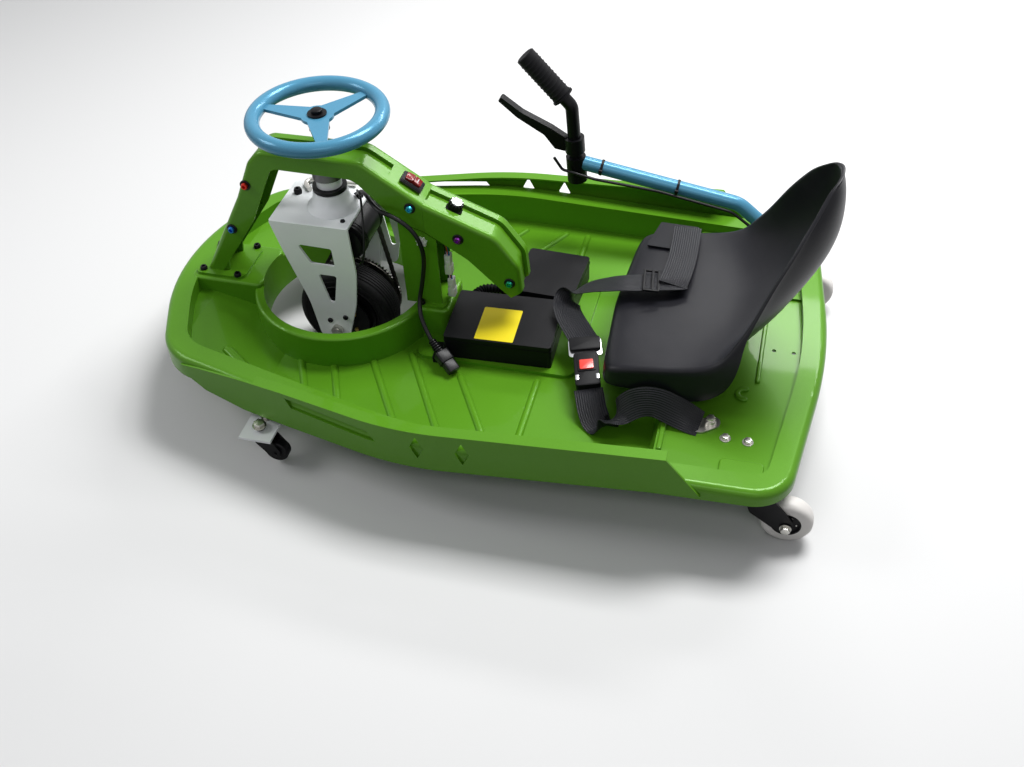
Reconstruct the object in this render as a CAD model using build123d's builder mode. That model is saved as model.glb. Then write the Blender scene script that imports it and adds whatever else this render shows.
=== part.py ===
"""Electric drift kart: pressed-steel pan, stamped steering bridge, driven front wheel
that steers about a vertical axis, and a drift bar that tilts the two rear casters.

Frame: origin on the ground under the middle of the kart, +X forward, +Y to the
rider's left, +Z up. Sizes in millimetres.
"""
from math import cos, radians, sin, tan
import os

from build123d import *

os.makedirs("parts", exist_ok=True)

# Sheet and clearances
sheet = 3.0  # pressed steel of pan, panels and bridge
seat_gap = 0.3  # clearance between a piece and what it rests against
running = 0.08  # radial clearance of a pin or shaft in its hole

# Pan: plan corners as (x, y, corner radius), left half from nose to tail
nose_corner = (568, 0, 350)
pan_half = [
    (474, 232, 100),
    (60, 333, 500),
    (-490, 316, 62),
]
tail_corner = (-529, 0, 900)
floor_z = 86.0  # top of the foot well
skirt_z = 108.0  # lower edge of the rolled rim
rim_z = 140.0  # top of the rim amidships
rim_rise = 0.017  # the rim climbs this much per unit of length towards the nose
rim_width = 34.0
rim_round = 11.0
toe_z = 124.0  # top of the sloping toe board at the nose
toe_start_x = 318.0
toe_end_x = 470.0
deck_z = 118.0  # top of the rear deck
deck_step_x = -298.0
deck_slope = 10.0

# Wheel opening in the pan
steer_x = 255.0  # steering axis, also the driven wheel's axle
opening_r = 136.0
lip_width = 15.0
lip_z = 142.0

# Side panels: band heights as (x, bottom, top)
panel_band = [
    (438, 122, 136),
    (400, 98, 142),
    (330, 86, 150),
    (250, 86, 156),
    (0, 94, 166),
    (-324, 113, 180),
]
panel_tail_x = -374.0
panel_flange = 15.0
diamond_x = (26.0, -41.0)
diamond_z = 135.0
diamond_w = 21.0
diamond_h = 42.0

# Driven wheel
tyre_r = 85.0
tyre_w = 50.0
rim_r = 52.0
chain_y = -47.0
sprocket_r = 71.0
motor_r = 32.0
motor_x = 223.0
axle_r = 6.0

# Steering column, stacked up from the tyre's crown
motor_over_tyre = 52.7  # gap between tyre and motor
fork_plate = 4.0
fork_half = 60.0  # over the outer faces of the side plates
boss_h = 54.0  # fork's boss over its top plate
bearing_h = 49.0  # bridge's top over the boss
wheel_lift = 54.0  # steering wheel's plane over the bridge
motor_z = 2 * tyre_r + motor_over_tyre + motor_r
fork_z = motor_z + motor_r + seat_gap + fork_plate  # top of the fork's top plate
boss_top = fork_z + boss_h
bridge_top_z = boss_top + bearing_h
wheel_plane_z = bridge_top_z + wheel_lift
grip_r = 96.0  # steering wheel's centre line
grip_tube_r = 11.5

# Bridge: half width over the side walls, and its foot's height
bridge_half = 31.0
ridge_w = 17.0  # width of each rolled ridge on top
foot_z = 150.0

# Rear casters
caster_wheel_r = 37.5
caster_wheel_w = 28.0
caster_x = -494.5
caster_y = 265.0
caster_trail = 34.0
caster_tilt = 12.0  # forward lean of the swivel axis with the bar down
drift_x = -420.0
drift_z = 92.0
drift_r = 11.0

# Front anti-tip casters
tip_wheel_r = 19.0
tip_wheel_w = 17.0
tip_x = 300.0
tip_y = 286.0
tip_trail = 22.0
tip_lift = 8.0

# Drift bar
bar_r = 12.5
bar_y = -270.0

# Platform under the electrical boxes, lip plateaus
box_deck_z = 92.0
box_deck_x = (-150.0, 108.0)
box_deck_y = (-164.0, 100.0)
foot_x0 = 385.0
foot_x1 = 512.0
foot_half = 52.0
leg_foot_x = (66.0, 124.0)
leg_foot_half = 46.0

# Bridge pressing
ridge_sink = 6.0  # depth of the middle between the ridges
ridge_round = 7.0
foot_plate = 4.0
bolt_r = 4.2  # clearance holes of the bridge bolts

# Seat
seat_t = 5.0
seat_half = 172.0
seat_front = -202.0


def pan_face(grow=0.0):
    """Plan shape of the pan inside the current sketch, grown by an amount."""
    left = [c[:2] for c in pan_half]
    right = [(x, -y) for x, y in reversed(left)]
    radii = [c[2] for c in pan_half]
    points = [nose_corner[:2]] + left + [tail_corner[:2]] + right
    rounds = [nose_corner[2]] + radii + [tail_corner[2]] + radii[::-1]
    with BuildLine() as outline:
        FilletPolyline(*points, radius=rounds, close=True)
    make_face(outline.edges())
    if grow:
        offset(amount=grow)


def side_face(points):
    """A closed outline of (x, z) points inside the current sketch on the XZ plane."""
    with BuildLine() as outline:
        Polyline(*points, close=True)
    make_face(outline.edges())


def prism_box(x0, x1, y0, y1, z0, z1, mode=Mode.ADD):
    """A plain block between two corners."""
    with Locations(((x0 + x1) / 2, (y0 + y1) / 2, (z0 + z1) / 2)):
        return Box(x1 - x0, y1 - y0, z1 - z0, mode=mode)


def finish(build, label):
    """Name the piece and write it."""
    build.part.label = label
    export_step(build.part, f"parts/{label}.step")


# Side profile of the rim's top, the floor's top, both from tail to nose
rim_line = [(-600, rim_z - 600 * rim_rise), (600, rim_z + 600 * rim_rise)]
floor_line = [
    (-600, deck_z),
    (deck_step_x, deck_z),
    (deck_step_x + deck_slope, floor_z),
    (toe_start_x, floor_z),
    (toe_end_x, toe_z),
    (600, toe_z),
]


def above(line, shift):
    """Outline of everything above a side profile moved up by shift."""
    return [(x, z + shift) for x, z in line] + [(600, 320), (-600, 320)]


def below(line, shift):
    """Outline of everything below a side profile moved up by shift."""
    return [(x, z + shift) for x, z in line] + [(600, 0), (-600, 0)]


def rounded_side(points):
    """Closed outline of (x, z, radius) points inside the current XZ sketch."""
    with BuildLine() as outline:
        FilletPolyline(*[p[:2] for p in points], radius=[p[2] for p in points], close=True)
    make_face(outline.edges())


def unit(a, b):
    """Unit direction from one (x, z) point to the next."""
    dx, dz = b[0] - a[0], b[1] - a[1]
    length = (dx * dx + dz * dz) ** 0.5
    return dx / length, dz / length


def lowered(line, depth):
    """An (x, z, radius) line that runs rearward, moved square to itself towards its underside."""
    moved = []
    last = len(line) - 1
    for i, (x, z, r) in enumerate(line):
        ahead = unit(line[max(i - 1, 0)], line[max(i, 1)])
        behind = unit(line[min(i, last - 1)], line[min(i + 1, last)])
        turn = ahead[0] * behind[1] - ahead[1] * behind[0]
        share = depth / (1 + ahead[0] * behind[0] + ahead[1] * behind[1])
        new_r = max(1.0, r - depth * turn / abs(turn)) if r and abs(turn) > 1e-6 else r
        moved.append((x - (ahead[1] + behind[1]) * share, z + (ahead[0] + behind[0]) * share, new_r))
    return moved


def drawn_out(line, length):
    """The same line with both ends run on straight."""
    first = unit(line[1], line[0])
    final = unit(line[-2], line[-1])
    start = (line[0][0] + first[0] * length, line[0][1] + first[1] * length, 0)
    end = (line[-1][0] + final[0] * length, line[-1][1] + final[1] * length, 0)
    return [start] + line[1:-1] + [end]


def channel(top, bottom, recess_from=None, recess_to=None):
    """Pressed channel open below: side walls, and a top with two ridges and a sunk middle."""
    sunk = ridge_sink
    with BuildPart() as body:
        with BuildSketch(Plane.XZ):
            rounded_side(top + bottom[::-1])
        extrude(amount=bridge_half, both=True)
        ridge_edges = [
            e
            for e in body.edges().filter_by(lambda e: abs(abs((e @ 0.5).Y) - bridge_half) < 0.01)
            if abs((e @ 0).Y - (e @ 1).Y) < 0.01 and on_line(e @ 0.5, top)
        ]
        fillet(ridge_edges, ridge_round)
        middle = bridge_half - ridge_w
        deep = drawn_out(lowered(top, sunk + sheet), 12)
        thin = drawn_out(lowered(top, sheet), 12)
        under = drawn_out(lowered(bottom, 14), 12)
        with BuildSketch(Plane.XZ):
            rounded_side(deep + under[::-1])
        extrude(amount=bridge_half - sheet, both=True, mode=Mode.SUBTRACT)
        for start in (middle + sheet, -(bridge_half - sheet)):
            with BuildSketch(Plane.XZ.offset(start)):
                rounded_side(thin + under[::-1])
            extrude(amount=ridge_w - 2 * sheet, mode=Mode.SUBTRACT)
        over = drawn_out([(x, z, 0) for x, z, r in lowered(top, -20)], 12)
        with BuildSketch(Plane.XZ):
            rounded_side(over + drawn_out(lowered(top, sunk), 12)[::-1])
            if recess_from is not None:
                with Locations(((recess_from + recess_to) / 2, 300)):
                    Rectangle(recess_from - recess_to, 400, mode=Mode.SUBTRACT)
        extrude(amount=middle, both=True, mode=Mode.SUBTRACT)
    return body.part


def on_line(point, line):
    """Whether a point lies on or near an (x, z) line, fillets included."""
    for a, b in zip(line, line[1:]):
        ux, uz = unit(a, b)
        along = (point.X - a[0]) * ux + (point.Z - a[1]) * uz
        off = abs((point.X - a[0]) * uz - (point.Z - a[1]) * ux)
        length = ((b[0] - a[0]) ** 2 + (b[1] - a[1]) ** 2) ** 0.5
        if -1 <= along <= length + 1 and off < 9:
            return True
    return False


def pan_block(grow, low, drop, edge_round):
    """Block with the pan's plan shape whose top follows the rim, edges rounded."""
    with BuildPart() as block:
        with BuildSketch(Plane.XY.offset(low)):
            pan_face(grow)
        extrude(amount=200)
        with BuildSketch(Plane.XZ):
            side_face(above(rim_line, drop))
        extrude(amount=420, both=True, mode=Mode.SUBTRACT)
        fillet([e for e in block.edges() if min((e @ 0).Z, (e @ 1).Z) > low + 1], edge_round)
    return block.part


rim_shell = pan_block(0, skirt_z, 0, rim_round)
rim_under = pan_block(-sheet, skirt_z - 1, -sheet, rim_round - sheet)

with BuildPart() as tub:
    with BuildSketch(Plane.XY.offset(60)):
        pan_face(-rim_width)
    extrude(amount=140)
    with BuildSketch(Plane.XZ):
        side_face(above(rim_line, -sheet / 2))
        side_face(below(floor_line, -sheet))
    extrude(amount=420, both=True, mode=Mode.SUBTRACT)

with BuildPart() as pocket:
    with BuildSketch(Plane.XY.offset(60)):
        pan_face(-rim_width - sheet)
    extrude(amount=200)
    with BuildSketch(Plane.XZ):
        side_face(below(floor_line, 0))
    extrude(amount=420, both=True, mode=Mode.SUBTRACT)

# Stiffening beads pressed up from the floor: half width, height and centre lines in plan
bead_half = 6.0
bead_h = 4.0
floor_beads = [
    ((309, 98), (249, 220)),
    ((250, 100), (189, 236)),
    ((199, 79), (91, 254)),
    ((115, 96), (16, 268)),
    ((24, 130), (-57, 270)),
    ((-96, 116), (-97, 270)),
]
toe_beads = [((400, 168), (336, 206)), ((409, 187), (352, 222))]


def floor_top(x):
    """Height of the floor's upper face."""
    for (x0, z0), (x1, z1) in zip(floor_line, floor_line[1:]):
        if x0 <= x <= x1:
            return z0 + (z1 - z0) * (x - x0) / (x1 - x0)
    return floor_z


def bead_part(lines, half, height):
    """Round-nosed ridges along plan lines on both sides, following the floor."""
    radius = (half * half + height * height) / (2 * height)
    with BuildPart() as ridge:
        for start, end in lines:
            for side in (1, -1):
                a, b = [
                    Vector(x, side * y, floor_top(x) + height - radius) for x, y in (start, end)
                ]
                with Locations(Plane(a, z_dir=b - a)):
                    Cylinder(radius, (b - a).length, align=(Align.CENTER, Align.CENTER, Align.MIN))
                with Locations(a, b):
                    Sphere(radius)
        with BuildSketch(Plane.XZ):
            side_face(below(floor_line, -sheet / 2))
        extrude(amount=420, both=True, mode=Mode.SUBTRACT)
    return ridge.part


slot_x = (-446.0, -392.0)  # opening in the deck for the drift bar
slot_half = 18.0
deck_hole_x = -460.0
deck_hole_pitch = 30.0
deck_hole_r = 3.25

# Sunk bay at the rear of the deck, with a double bead along its front edge
bay_x = (-492.0, -434.0)
bay_y = (-128.0, 84.0)
bay_depth = 4.0
bay_bead_x = -427.0
lip_round = 5.0
corner_pad = ((-453, -391), (247, 283))
hook_centre = (-412.0, 112.0)

with BuildPart() as floor_pan:
    add(rim_shell)
    add(rim_under, mode=Mode.SUBTRACT)
    add(tub.part)
    add(pocket.part, mode=Mode.SUBTRACT)
    # raised lip round the wheel opening, foot plateaus and box platform
    with BuildSketch(Plane.XY.offset(floor_z - sheet)):
        with Locations((steer_x, 0)):
            Circle(opening_r + lip_width)
        with Locations((sum(leg_foot_x) / 2, 0)):
            RectangleRounded(leg_foot_x[1] - leg_foot_x[0], 2 * leg_foot_half, 12)
    extrude(amount=lip_z - floor_z + sheet)
    fillet(floor_pan.faces().filter_by(lambda f: abs(f.center().Z - lip_z) < 0.01).edges(), lip_round)
    with BuildPart(mode=Mode.PRIVATE) as nose_plateau:
        with BuildSketch(Plane.XY.offset(floor_z - sheet)):
            with Locations(((foot_x0 + foot_x1) / 2, 0)):
                RectangleRounded(foot_x1 - foot_x0, 2 * foot_half, 12)
        extrude(amount=foot_z - floor_z + sheet - seat_gap)
        fillet(nose_plateau.faces().sort_by(Axis.Z)[-1].edges(), lip_round)
    add(nose_plateau.part)
    add(bead_part(floor_beads, bead_half, bead_h))
    add(bead_part(toe_beads, 9, 6))
    with BuildSketch(Plane.XY.offset(floor_z - sheet)):
        with Locations((sum(box_deck_x) / 2, sum(box_deck_y) / 2)):
            RectangleRounded(box_deck_x[1] - box_deck_x[0], box_deck_y[1] - box_deck_y[0], 18)
    extrude(amount=box_deck_z - floor_z + sheet)
    # sunk bay, bead along it, corner pad and hook bead of the rear deck
    for grow, low, high, mode in (
        (sheet, deck_z - bay_depth - sheet, deck_z - 1, Mode.ADD),
        (0, deck_z - bay_depth, deck_z + 1, Mode.SUBTRACT),
    ):
        with BuildSketch(Plane.XY.offset(low)):
            with Locations((sum(bay_x) / 2, sum(bay_y) / 2)):
                RectangleRounded(bay_x[1] - bay_x[0] + 2 * grow, bay_y[1] - bay_y[0] + 2 * grow, 9 + grow)
        extrude(amount=high - low, mode=mode)
    with BuildPart(mode=Mode.PRIVATE) as deck_beads:
        with BuildSketch(Plane.XY.offset(deck_z - 1)):
            with Locations(Location((bay_bead_x, sum(bay_y) / 2), 90)):
                SlotOverall(bay_y[1] - bay_y[0], 7)
            with Locations(Location((deck_step_x - 7, 0), 90)):
                SlotOverall(500, 8)
            with Locations(((corner_pad[0][0] + corner_pad[0][1]) / 2, sum(corner_pad[1]) / 2)):
                RectangleRounded(corner_pad[0][1] - corner_pad[0][0], corner_pad[1][1] - corner_pad[1][0], 8)
            with BuildLine() as hook_line:
                CenterArc(hook_centre, 11, -95, 190)
            SlotArc(hook_line.edges()[0], 8)
        extrude(amount=1 + bead_h)
        tops = deck_beads.faces().filter_by(lambda f: abs(f.center().Z - deck_z - bead_h) < 0.01)
        fillet(tops.edges(), bead_h - 1.5)
    add(deck_beads.part)
    # hollow underneath
    with BuildSketch(Plane.XY.offset(floor_z - sheet - 20)):
        with Locations((steer_x, 0)):
            Circle(opening_r + lip_width - sheet)
        with Locations((sum(leg_foot_x) / 2, 0)):
            RectangleRounded(leg_foot_x[1] - leg_foot_x[0] - 2 * sheet, 2 * (leg_foot_half - sheet), 9)
        with Locations((steer_x, 0)):
            Circle(opening_r + sheet, mode=Mode.SUBTRACT)
    extrude(amount=lip_z - floor_z + 20, mode=Mode.SUBTRACT)
    with BuildSketch(Plane.XY.offset(floor_z - sheet - 20)):
        with Locations(((foot_x0 + foot_x1) / 2, 0)):
            RectangleRounded(foot_x1 - foot_x0 - 2 * sheet, 2 * (foot_half - sheet), 9)
        with Locations((steer_x, 0)):
            Circle(opening_r + sheet, mode=Mode.SUBTRACT)
    extrude(amount=foot_z - floor_z - seat_gap + 20, mode=Mode.SUBTRACT)
    with BuildSketch(Plane.XY.offset(floor_z - sheet - 1)):
        with Locations((sum(box_deck_x) / 2, sum(box_deck_y) / 2)):
            RectangleRounded(
                box_deck_x[1] - box_deck_x[0] - 2 * sheet,
                box_deck_y[1] - box_deck_y[0] - 2 * sheet,
                15,
            )
        with Locations((steer_x, 0)):
            Circle(opening_r + lip_width, mode=Mode.SUBTRACT)
    extrude(amount=box_deck_z - floor_z + 1, mode=Mode.SUBTRACT)
    # wheel opening and the drift bar's opening
    with BuildSketch(Plane.XY):
        with Locations((steer_x, 0)):
            Circle(opening_r)
        with Locations((sum(slot_x) / 2, bar_y)):
            RectangleRounded(slot_x[1] - slot_x[0], 2 * slot_half, 8)
        with Locations((deck_hole_x - deck_hole_pitch / 2, 0), (deck_hole_x + deck_hole_pitch / 2, 0)):
            Circle(deck_hole_r)
    extrude(amount=300, mode=Mode.SUBTRACT)
finish(floor_pan, "floor_pan")

# Side panels, clipped to the outside of the rim
panel_slot = [(243, 148), (103, 144), (91, 126), (234, 131)]
panel_fold_x = 300.0
panel_tail_z = 116.0

with BuildPart() as side_panel_left:
    with BuildSketch(Plane.XY.offset(60)):
        pan_face(seat_gap + sheet)
    extrude(amount=160)
    with BuildSketch(Plane.XY.offset(60)):
        pan_face(seat_gap)
    extrude(amount=160, mode=Mode.SUBTRACT)
    wall_top = [(x, top) for x, bottom, top in panel_band]
    wall_bottom = [(x, bottom) for x, bottom, top in panel_band]
    with BuildSketch(Plane.XZ.offset(-420)):
        side_face(wall_top + [(panel_tail_x, panel_tail_z)] + wall_bottom[::-1])
    extrude(amount=320, mode=Mode.INTERSECT)
    with BuildPart(mode=Mode.PRIVATE) as fold:
        with BuildSketch(Plane.XY.offset(60)):
            pan_face(seat_gap + 1)
        extrude(amount=160)
        with BuildSketch(Plane.XY.offset(60)):
            pan_face(-panel_flange)
        extrude(amount=160, mode=Mode.SUBTRACT)
        edge = [(x, top) for x, bottom, top in panel_band if x < panel_fold_x]
        share = (panel_fold_x - panel_band[3][0]) / (panel_band[2][0] - panel_band[3][0])
        fold_z = panel_band[3][2] + share * (panel_band[2][2] - panel_band[3][2])
        edge = [(panel_fold_x, fold_z)] + edge
        with BuildSketch(Plane.XZ.offset(-420)):
            side_face(edge + [(x, z - sheet) for x, z in edge[::-1]])
        extrude(amount=320, mode=Mode.INTERSECT)
    add(fold.part)
    with BuildSketch(Plane.XZ):
        side_face(panel_slot)
        for x in diamond_x:
            with Locations((x, diamond_z)):
                Polygon(
                    (-diamond_w / 2, 0), (0, -diamond_h / 2), (diamond_w / 2, 0), (0, diamond_h / 2)
                )
    extrude(amount=420, both=True, mode=Mode.SUBTRACT)
finish(side_panel_left, "side_panel_left")

with BuildPart() as side_panel_right:
    mirror(side_panel_left.part, about=Plane.XZ)
finish(side_panel_right, "side_panel_right")

# Bridge: side view lines as (x, drop from the bridge's top, bend radius), front foot to rear end
split_x = 96.0  # joint between bridge and arm
foot_drop = bridge_top_z - foot_z - foot_plate - seat_gap


def hung(stations):
    """Stations measured down from the bridge's top, as (x, z, bend radius)."""
    return [(x, bridge_top_z - drop, radius) for x, drop, radius in stations]


bridge_top = hung(
    [(488, foot_drop, 0), (404, 91, 40), (373, 24, 30), (352, 0, 24), (190, 0, 34), (split_x, 63, 0)]
)
bridge_under = hung(
    [
        (459, foot_drop, 0), (383, 131, 60), (352, 67, 30), (333, 28, 16), (201, 31, 30),
        (138, 96, 20), (split_x, 111, 0),
    ]
)
arm_top = hung([(split_x - seat_gap, 63, 0), (-15, 108, 40), (-50, 157, 30), (-54, 205, 0)])
arm_under = hung([(split_x - seat_gap, 111, 0), (30, 154, 60), (-10, 194, 40), (-36, 218, 0)])
switch_x = 150.0  # front of the raised block that carries the switch
bridge_bolts = [(382, bridge_top_z - 63), (424, bridge_top_z - 151), (115, bridge_top_z - 70)]
arm_bolts = [(43, bridge_top_z - 117), (-35, bridge_top_z - 189)]
shaft_r = 10.0
bore_r = shaft_r + running
bearing_neck_r = 13.0

with BuildPart() as front_bridge:
    add(channel(bridge_top, bridge_under, switch_x, 60))
    with BuildSketch(Plane.XZ):
        with Locations(*bridge_bolts):
            Circle(bolt_r)
    extrude(amount=60, both=True, mode=Mode.SUBTRACT)
    with BuildSketch(Plane.XY.offset(bridge_top_z - 30)):
        with Locations((steer_x, 0)):
            Circle(bearing_neck_r + seat_gap)
    extrude(amount=60, mode=Mode.SUBTRACT)
finish(front_bridge, "front_bridge")

with BuildPart() as bridge_arm:
    add(channel(arm_top, arm_under))
    with BuildSketch(Plane.XZ):
        with Locations(*arm_bolts):
            Circle(bolt_r)
    extrude(amount=60, both=True, mode=Mode.SUBTRACT)
finish(bridge_arm, "bridge_arm")

# Middle leg: U channel, open to the rear, on its foot
leg_x = (79.0, 138.0)
leg_low = lip_z + seat_gap
leg_foot_t = 3.0
with BuildPart() as bridge_mid_leg:
    prism_box(*leg_x, -bridge_half, bridge_half, leg_low, bridge_top_z - 64)
    prism_box(
        leg_x[0] - 1, leg_x[1] - sheet, -bridge_half + sheet, bridge_half - sheet, 0, bridge_top_z,
        mode=Mode.SUBTRACT,
    )
    with BuildSketch(Plane.XZ):
        leg_cut = [(160, 76), (138, 98), (96, 113), (60, 137), (60, -6), (160, -6)]
        side_face([(x, bridge_top_z - drop) for x, drop in leg_cut])
    extrude(amount=60, both=True, mode=Mode.SUBTRACT)
    with BuildSketch(Plane.XY.offset(leg_low)):
        with Locations(((leg_foot_x[0] + 6 + 120) / 2, 0)):
            RectangleRounded(114 - leg_foot_x[0], 2 * leg_foot_half - 10, 8)
        with Locations((steer_x, 0)):
            Circle(opening_r + 2, mode=Mode.SUBTRACT)
    extrude(amount=leg_foot_t)
finish(bridge_mid_leg, "bridge_mid_leg")

# Front foot: base plate with two ears inside the leg
ear_t = 3.0
with BuildPart() as bridge_foot:
    with BuildSketch(Plane.XY.offset(foot_z)):
        with Locations(((foot_x0 + foot_x1) / 2 + 14, 0)):
            RectangleRounded(88, 2 * foot_half - 16, 12)
    extrude(amount=foot_plate)
    ear_out = bridge_half - sheet - seat_gap
    for start in (-ear_out, ear_out - ear_t):
        with BuildSketch(Plane.XZ.offset(start)):
            ear_z = bridge_bolts[1][1]
            side_face(
                [(476, foot_z + 1), (425, ear_z + 14), (394, ear_z + 14), (446, ear_z - 63), (450, foot_z + 1)]
            )
            with Locations(bridge_bolts[1]):
                Circle(bolt_r, mode=Mode.SUBTRACT)
        extrude(amount=ear_t)
finish(bridge_foot, "bridge_foot")

# Steering bearing in the bridge's top
with BuildPart() as steering_bearing:
    with Locations((steer_x, 0, 0)):
        with BuildSketch(Plane.XY.offset(boss_top + seat_gap)):
            with Locations((steer_x, 0)):
                Circle(24)
        extrude(amount=bridge_top_z - ridge_sink - sheet - seat_gap - boss_top - seat_gap)
        with BuildSketch(Plane.XY.offset(boss_top + seat_gap)):
            with Locations((steer_x, 0)):
                Circle(bearing_neck_r)
        extrude(amount=bridge_top_z - boss_top - 1)
        with BuildSketch(Plane.XY.offset(boss_top)):
            with Locations((steer_x, 0)):
                Circle(bore_r)
        extrude(amount=80, mode=Mode.SUBTRACT)
finish(steering_bearing, "steering_bearing")


def on_slope(line, x, lift):
    """Plane lying on a rearward line's straight at x, raised off it, its x axis down the slope."""
    a, b = [(p, q) for p, q in zip(line, line[1:]) if q[0] <= x <= p[0]][0]
    ux, uz = unit(a, b)
    z = a[1] + (x - a[0]) * uz / ux
    return Plane((x + uz * lift, 0, z - ux * lift), x_dir=(ux, 0, uz), z_dir=(uz, 0, -ux))


# Switch and speed knob
with BuildPart() as switch_bezel:
    with BuildSketch(on_slope(bridge_top, 120, seat_gap)):
        RectangleRounded(34, 24, 3)
    extrude(amount=3)
finish(switch_bezel, "switch_bezel")

with BuildPart() as rocker_switch:
    with BuildSketch(on_slope(bridge_top, 120, seat_gap + 3 + seat_gap)):
        RectangleRounded(27, 15, 1.5)
    extrude(amount=6)
finish(rocker_switch, "rocker_switch")

with BuildPart() as power_knob:
    with BuildSketch(on_slope(arm_top, 54, seat_gap - ridge_sink)):
        Circle(12)
    extrude(amount=15, taper=6)
finish(power_knob, "power_knob")


def rod_y(x, z, radius, y0, y1, mode=Mode.ADD):
    """Cylinder along Y between two widths."""
    with Locations(Plane((x, (y0 + y1) / 2, z), x_dir=(1, 0, 0), z_dir=(0, 1, 0))):
        Cylinder(radius, y1 - y0, mode=mode)


def rod_z(x, y, radius, z0, z1, mode=Mode.ADD):
    """Upright cylinder between two heights."""
    with Locations((x, y, (z0 + z1) / 2)):
        Cylinder(radius, z1 - z0, mode=mode)


# Steering wheel: ring, three flat spokes and a hub plate
spoke_angles = (-4, 116, 236)
spoke_t = 5.0
hub_r = 25.0
with BuildPart() as steering_wheel:
    with BuildSketch(Plane.XZ):
        with Locations((steer_x + grip_r, wheel_plane_z)):
            Circle(grip_tube_r)
    revolve(axis=Axis((steer_x, 0, 0), (0, 0, 1)))
    with BuildSketch(Plane.XY.offset(wheel_plane_z - spoke_t / 2)):
        with Locations((steer_x, 0)):
            Circle(hub_r)
        for angle in spoke_angles:
            with Locations(Location((steer_x, 0), angle)):
                with Locations(((grip_r - 4) / 2, 0)):
                    Trapezoid(38, grip_r - 4, 82, rotation=-90)
    extrude(amount=spoke_t)
    rod_z(steer_x, 0, shaft_r + seat_gap, wheel_plane_z - 20, wheel_plane_z + 20, mode=Mode.SUBTRACT)
finish(steering_wheel, "steering_wheel")

# Stem through the bearing, with its cap
with BuildPart() as steering_stem:
    rod_z(steer_x, 0, shaft_r, fork_z - fork_plate + 1, wheel_plane_z + 9)
    rod_z(steer_x, 0, 16, wheel_plane_z + spoke_t / 2 + seat_gap, wheel_plane_z + 11)
    rod_z(steer_x, 0, 16, wheel_plane_z - 22, wheel_plane_z - spoke_t / 2 - seat_gap)
finish(steering_stem, "steering_stem")

# Fork: top plate with a boss and two curved side plates
plate_outline = [
    (340, fork_z, 3),
    (325, fork_z - 57, 60),
    (296, tyre_r + 55, 180),
    (286, tyre_r - 19, 12),
    (238, tyre_r - 19, 12),
    (216, tyre_r + 55, 160),
    (207, fork_z - 86, 140),
    (210, fork_z, 3),
]
window_upper = [(299, fork_z - 39, 4), (242, fork_z - 41, 4), (241, fork_z - 75, 4), (281, fork_z - 74, 4)]
window_lower = [(272, fork_z - 94, 4), (241, fork_z - 94, 4), (256, tyre_r + 37, 5)]
plate_bolts = [(266, tyre_r + 18), (238, tyre_r + 28)]
with BuildPart() as wheel_fork:
    with BuildSketch(Plane.XY.offset(fork_z - fork_plate)):
        with Locations(((340 + 210) / 2, 0)):
            RectangleRounded(130, 2 * fork_half, 4)
    extrude(amount=fork_plate)
    for start in (-fork_half, fork_half - fork_plate):
        with BuildSketch(Plane.XZ.offset(start)):
            rounded_side(plate_outline)
        extrude(amount=fork_plate)
    for outline in (window_upper, window_lower):
        with BuildSketch(Plane.XZ):
            rounded_side(outline)
        extrude(amount=fork_half + 1, both=True, mode=Mode.SUBTRACT)
    with BuildSketch(Plane.XZ):
        with Locations((steer_x, tyre_r)):
            Circle(axle_r + seat_gap)
        with Locations(*plate_bolts):
            Circle(3.3)
    extrude(amount=fork_half + 1, both=True, mode=Mode.SUBTRACT)
    rod_z(steer_x, 0, 20, fork_z - 1, boss_top)
    rod_z(steer_x, 0, shaft_r + seat_gap, fork_z - 10, boss_top + 1, mode=Mode.SUBTRACT)
finish(wheel_fork, "wheel_fork")

# Chain guard on the far plate
guard_outline = [
    (222, fork_z - 4, 4),
    (207, fork_z - 4, 4),
    (176, fork_z - 47, 30),
    (174, fork_z - 88, 30),
    (186, fork_z - 148, 12),
    (222, fork_z - 148, 4),
]
with BuildPart() as chain_guard:
    with BuildSketch(Plane.XZ.offset(fork_half + seat_gap)):
        rounded_side(guard_outline)
        with Locations((192, fork_z - 79)):
            SlotOverall(64, 9, rotation=82, mode=Mode.SUBTRACT)
    extrude(amount=2)
finish(chain_guard, "chain_guard")

# Locking rod that lies on the fork's top plate
rod_d = 8.0
with BuildPart() as fork_rod:
    rod_lift = fork_z + rod_d / 2 + seat_gap
    rod_line = [(304, -27), (328, -54), (236, -54)]
    with BuildLine():
        FilletPolyline(*[(x, y, rod_lift) for x, y in rod_line], radius=9)
    with BuildSketch(Plane((*rod_line[0], rod_lift), z_dir=(24, -27, 0))):
        Circle(rod_d / 2)
    sweep()
finish(fork_rod, "fork_rod")

# Hub motor drive: motor with pinion, chain, sprocket
chain_w = 6.0
chain_h = 7.0
pinion_line = 13.0  # pitch radius
with BuildPart() as drive_motor:
    rod_y(motor_x, motor_z, motor_r, -38, 42)
    rod_y(motor_x, motor_z, motor_r - 6, 41, 47)
    rod_y(motor_x, motor_z, 6, chain_y - 3, -37)
    rod_y(motor_x, motor_z, pinion_line - chain_h / 2 - seat_gap, chain_y - 3, chain_y + 3)
finish(drive_motor, "drive_motor")

with BuildPart() as drive_chain:
    for shift, mode in ((chain_h / 2, Mode.ADD), (-chain_h / 2, Mode.SUBTRACT)):
        with BuildSketch(Plane.XZ.offset(-chain_y - chain_w / 2)):
            with Locations((motor_x, motor_z)):
                Circle(pinion_line + shift)
            with Locations((steer_x, tyre_r)):
                Circle(sprocket_r + shift)
            make_hull()
        extrude(amount=chain_w, mode=mode)
finish(drive_chain, "drive_chain")

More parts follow.
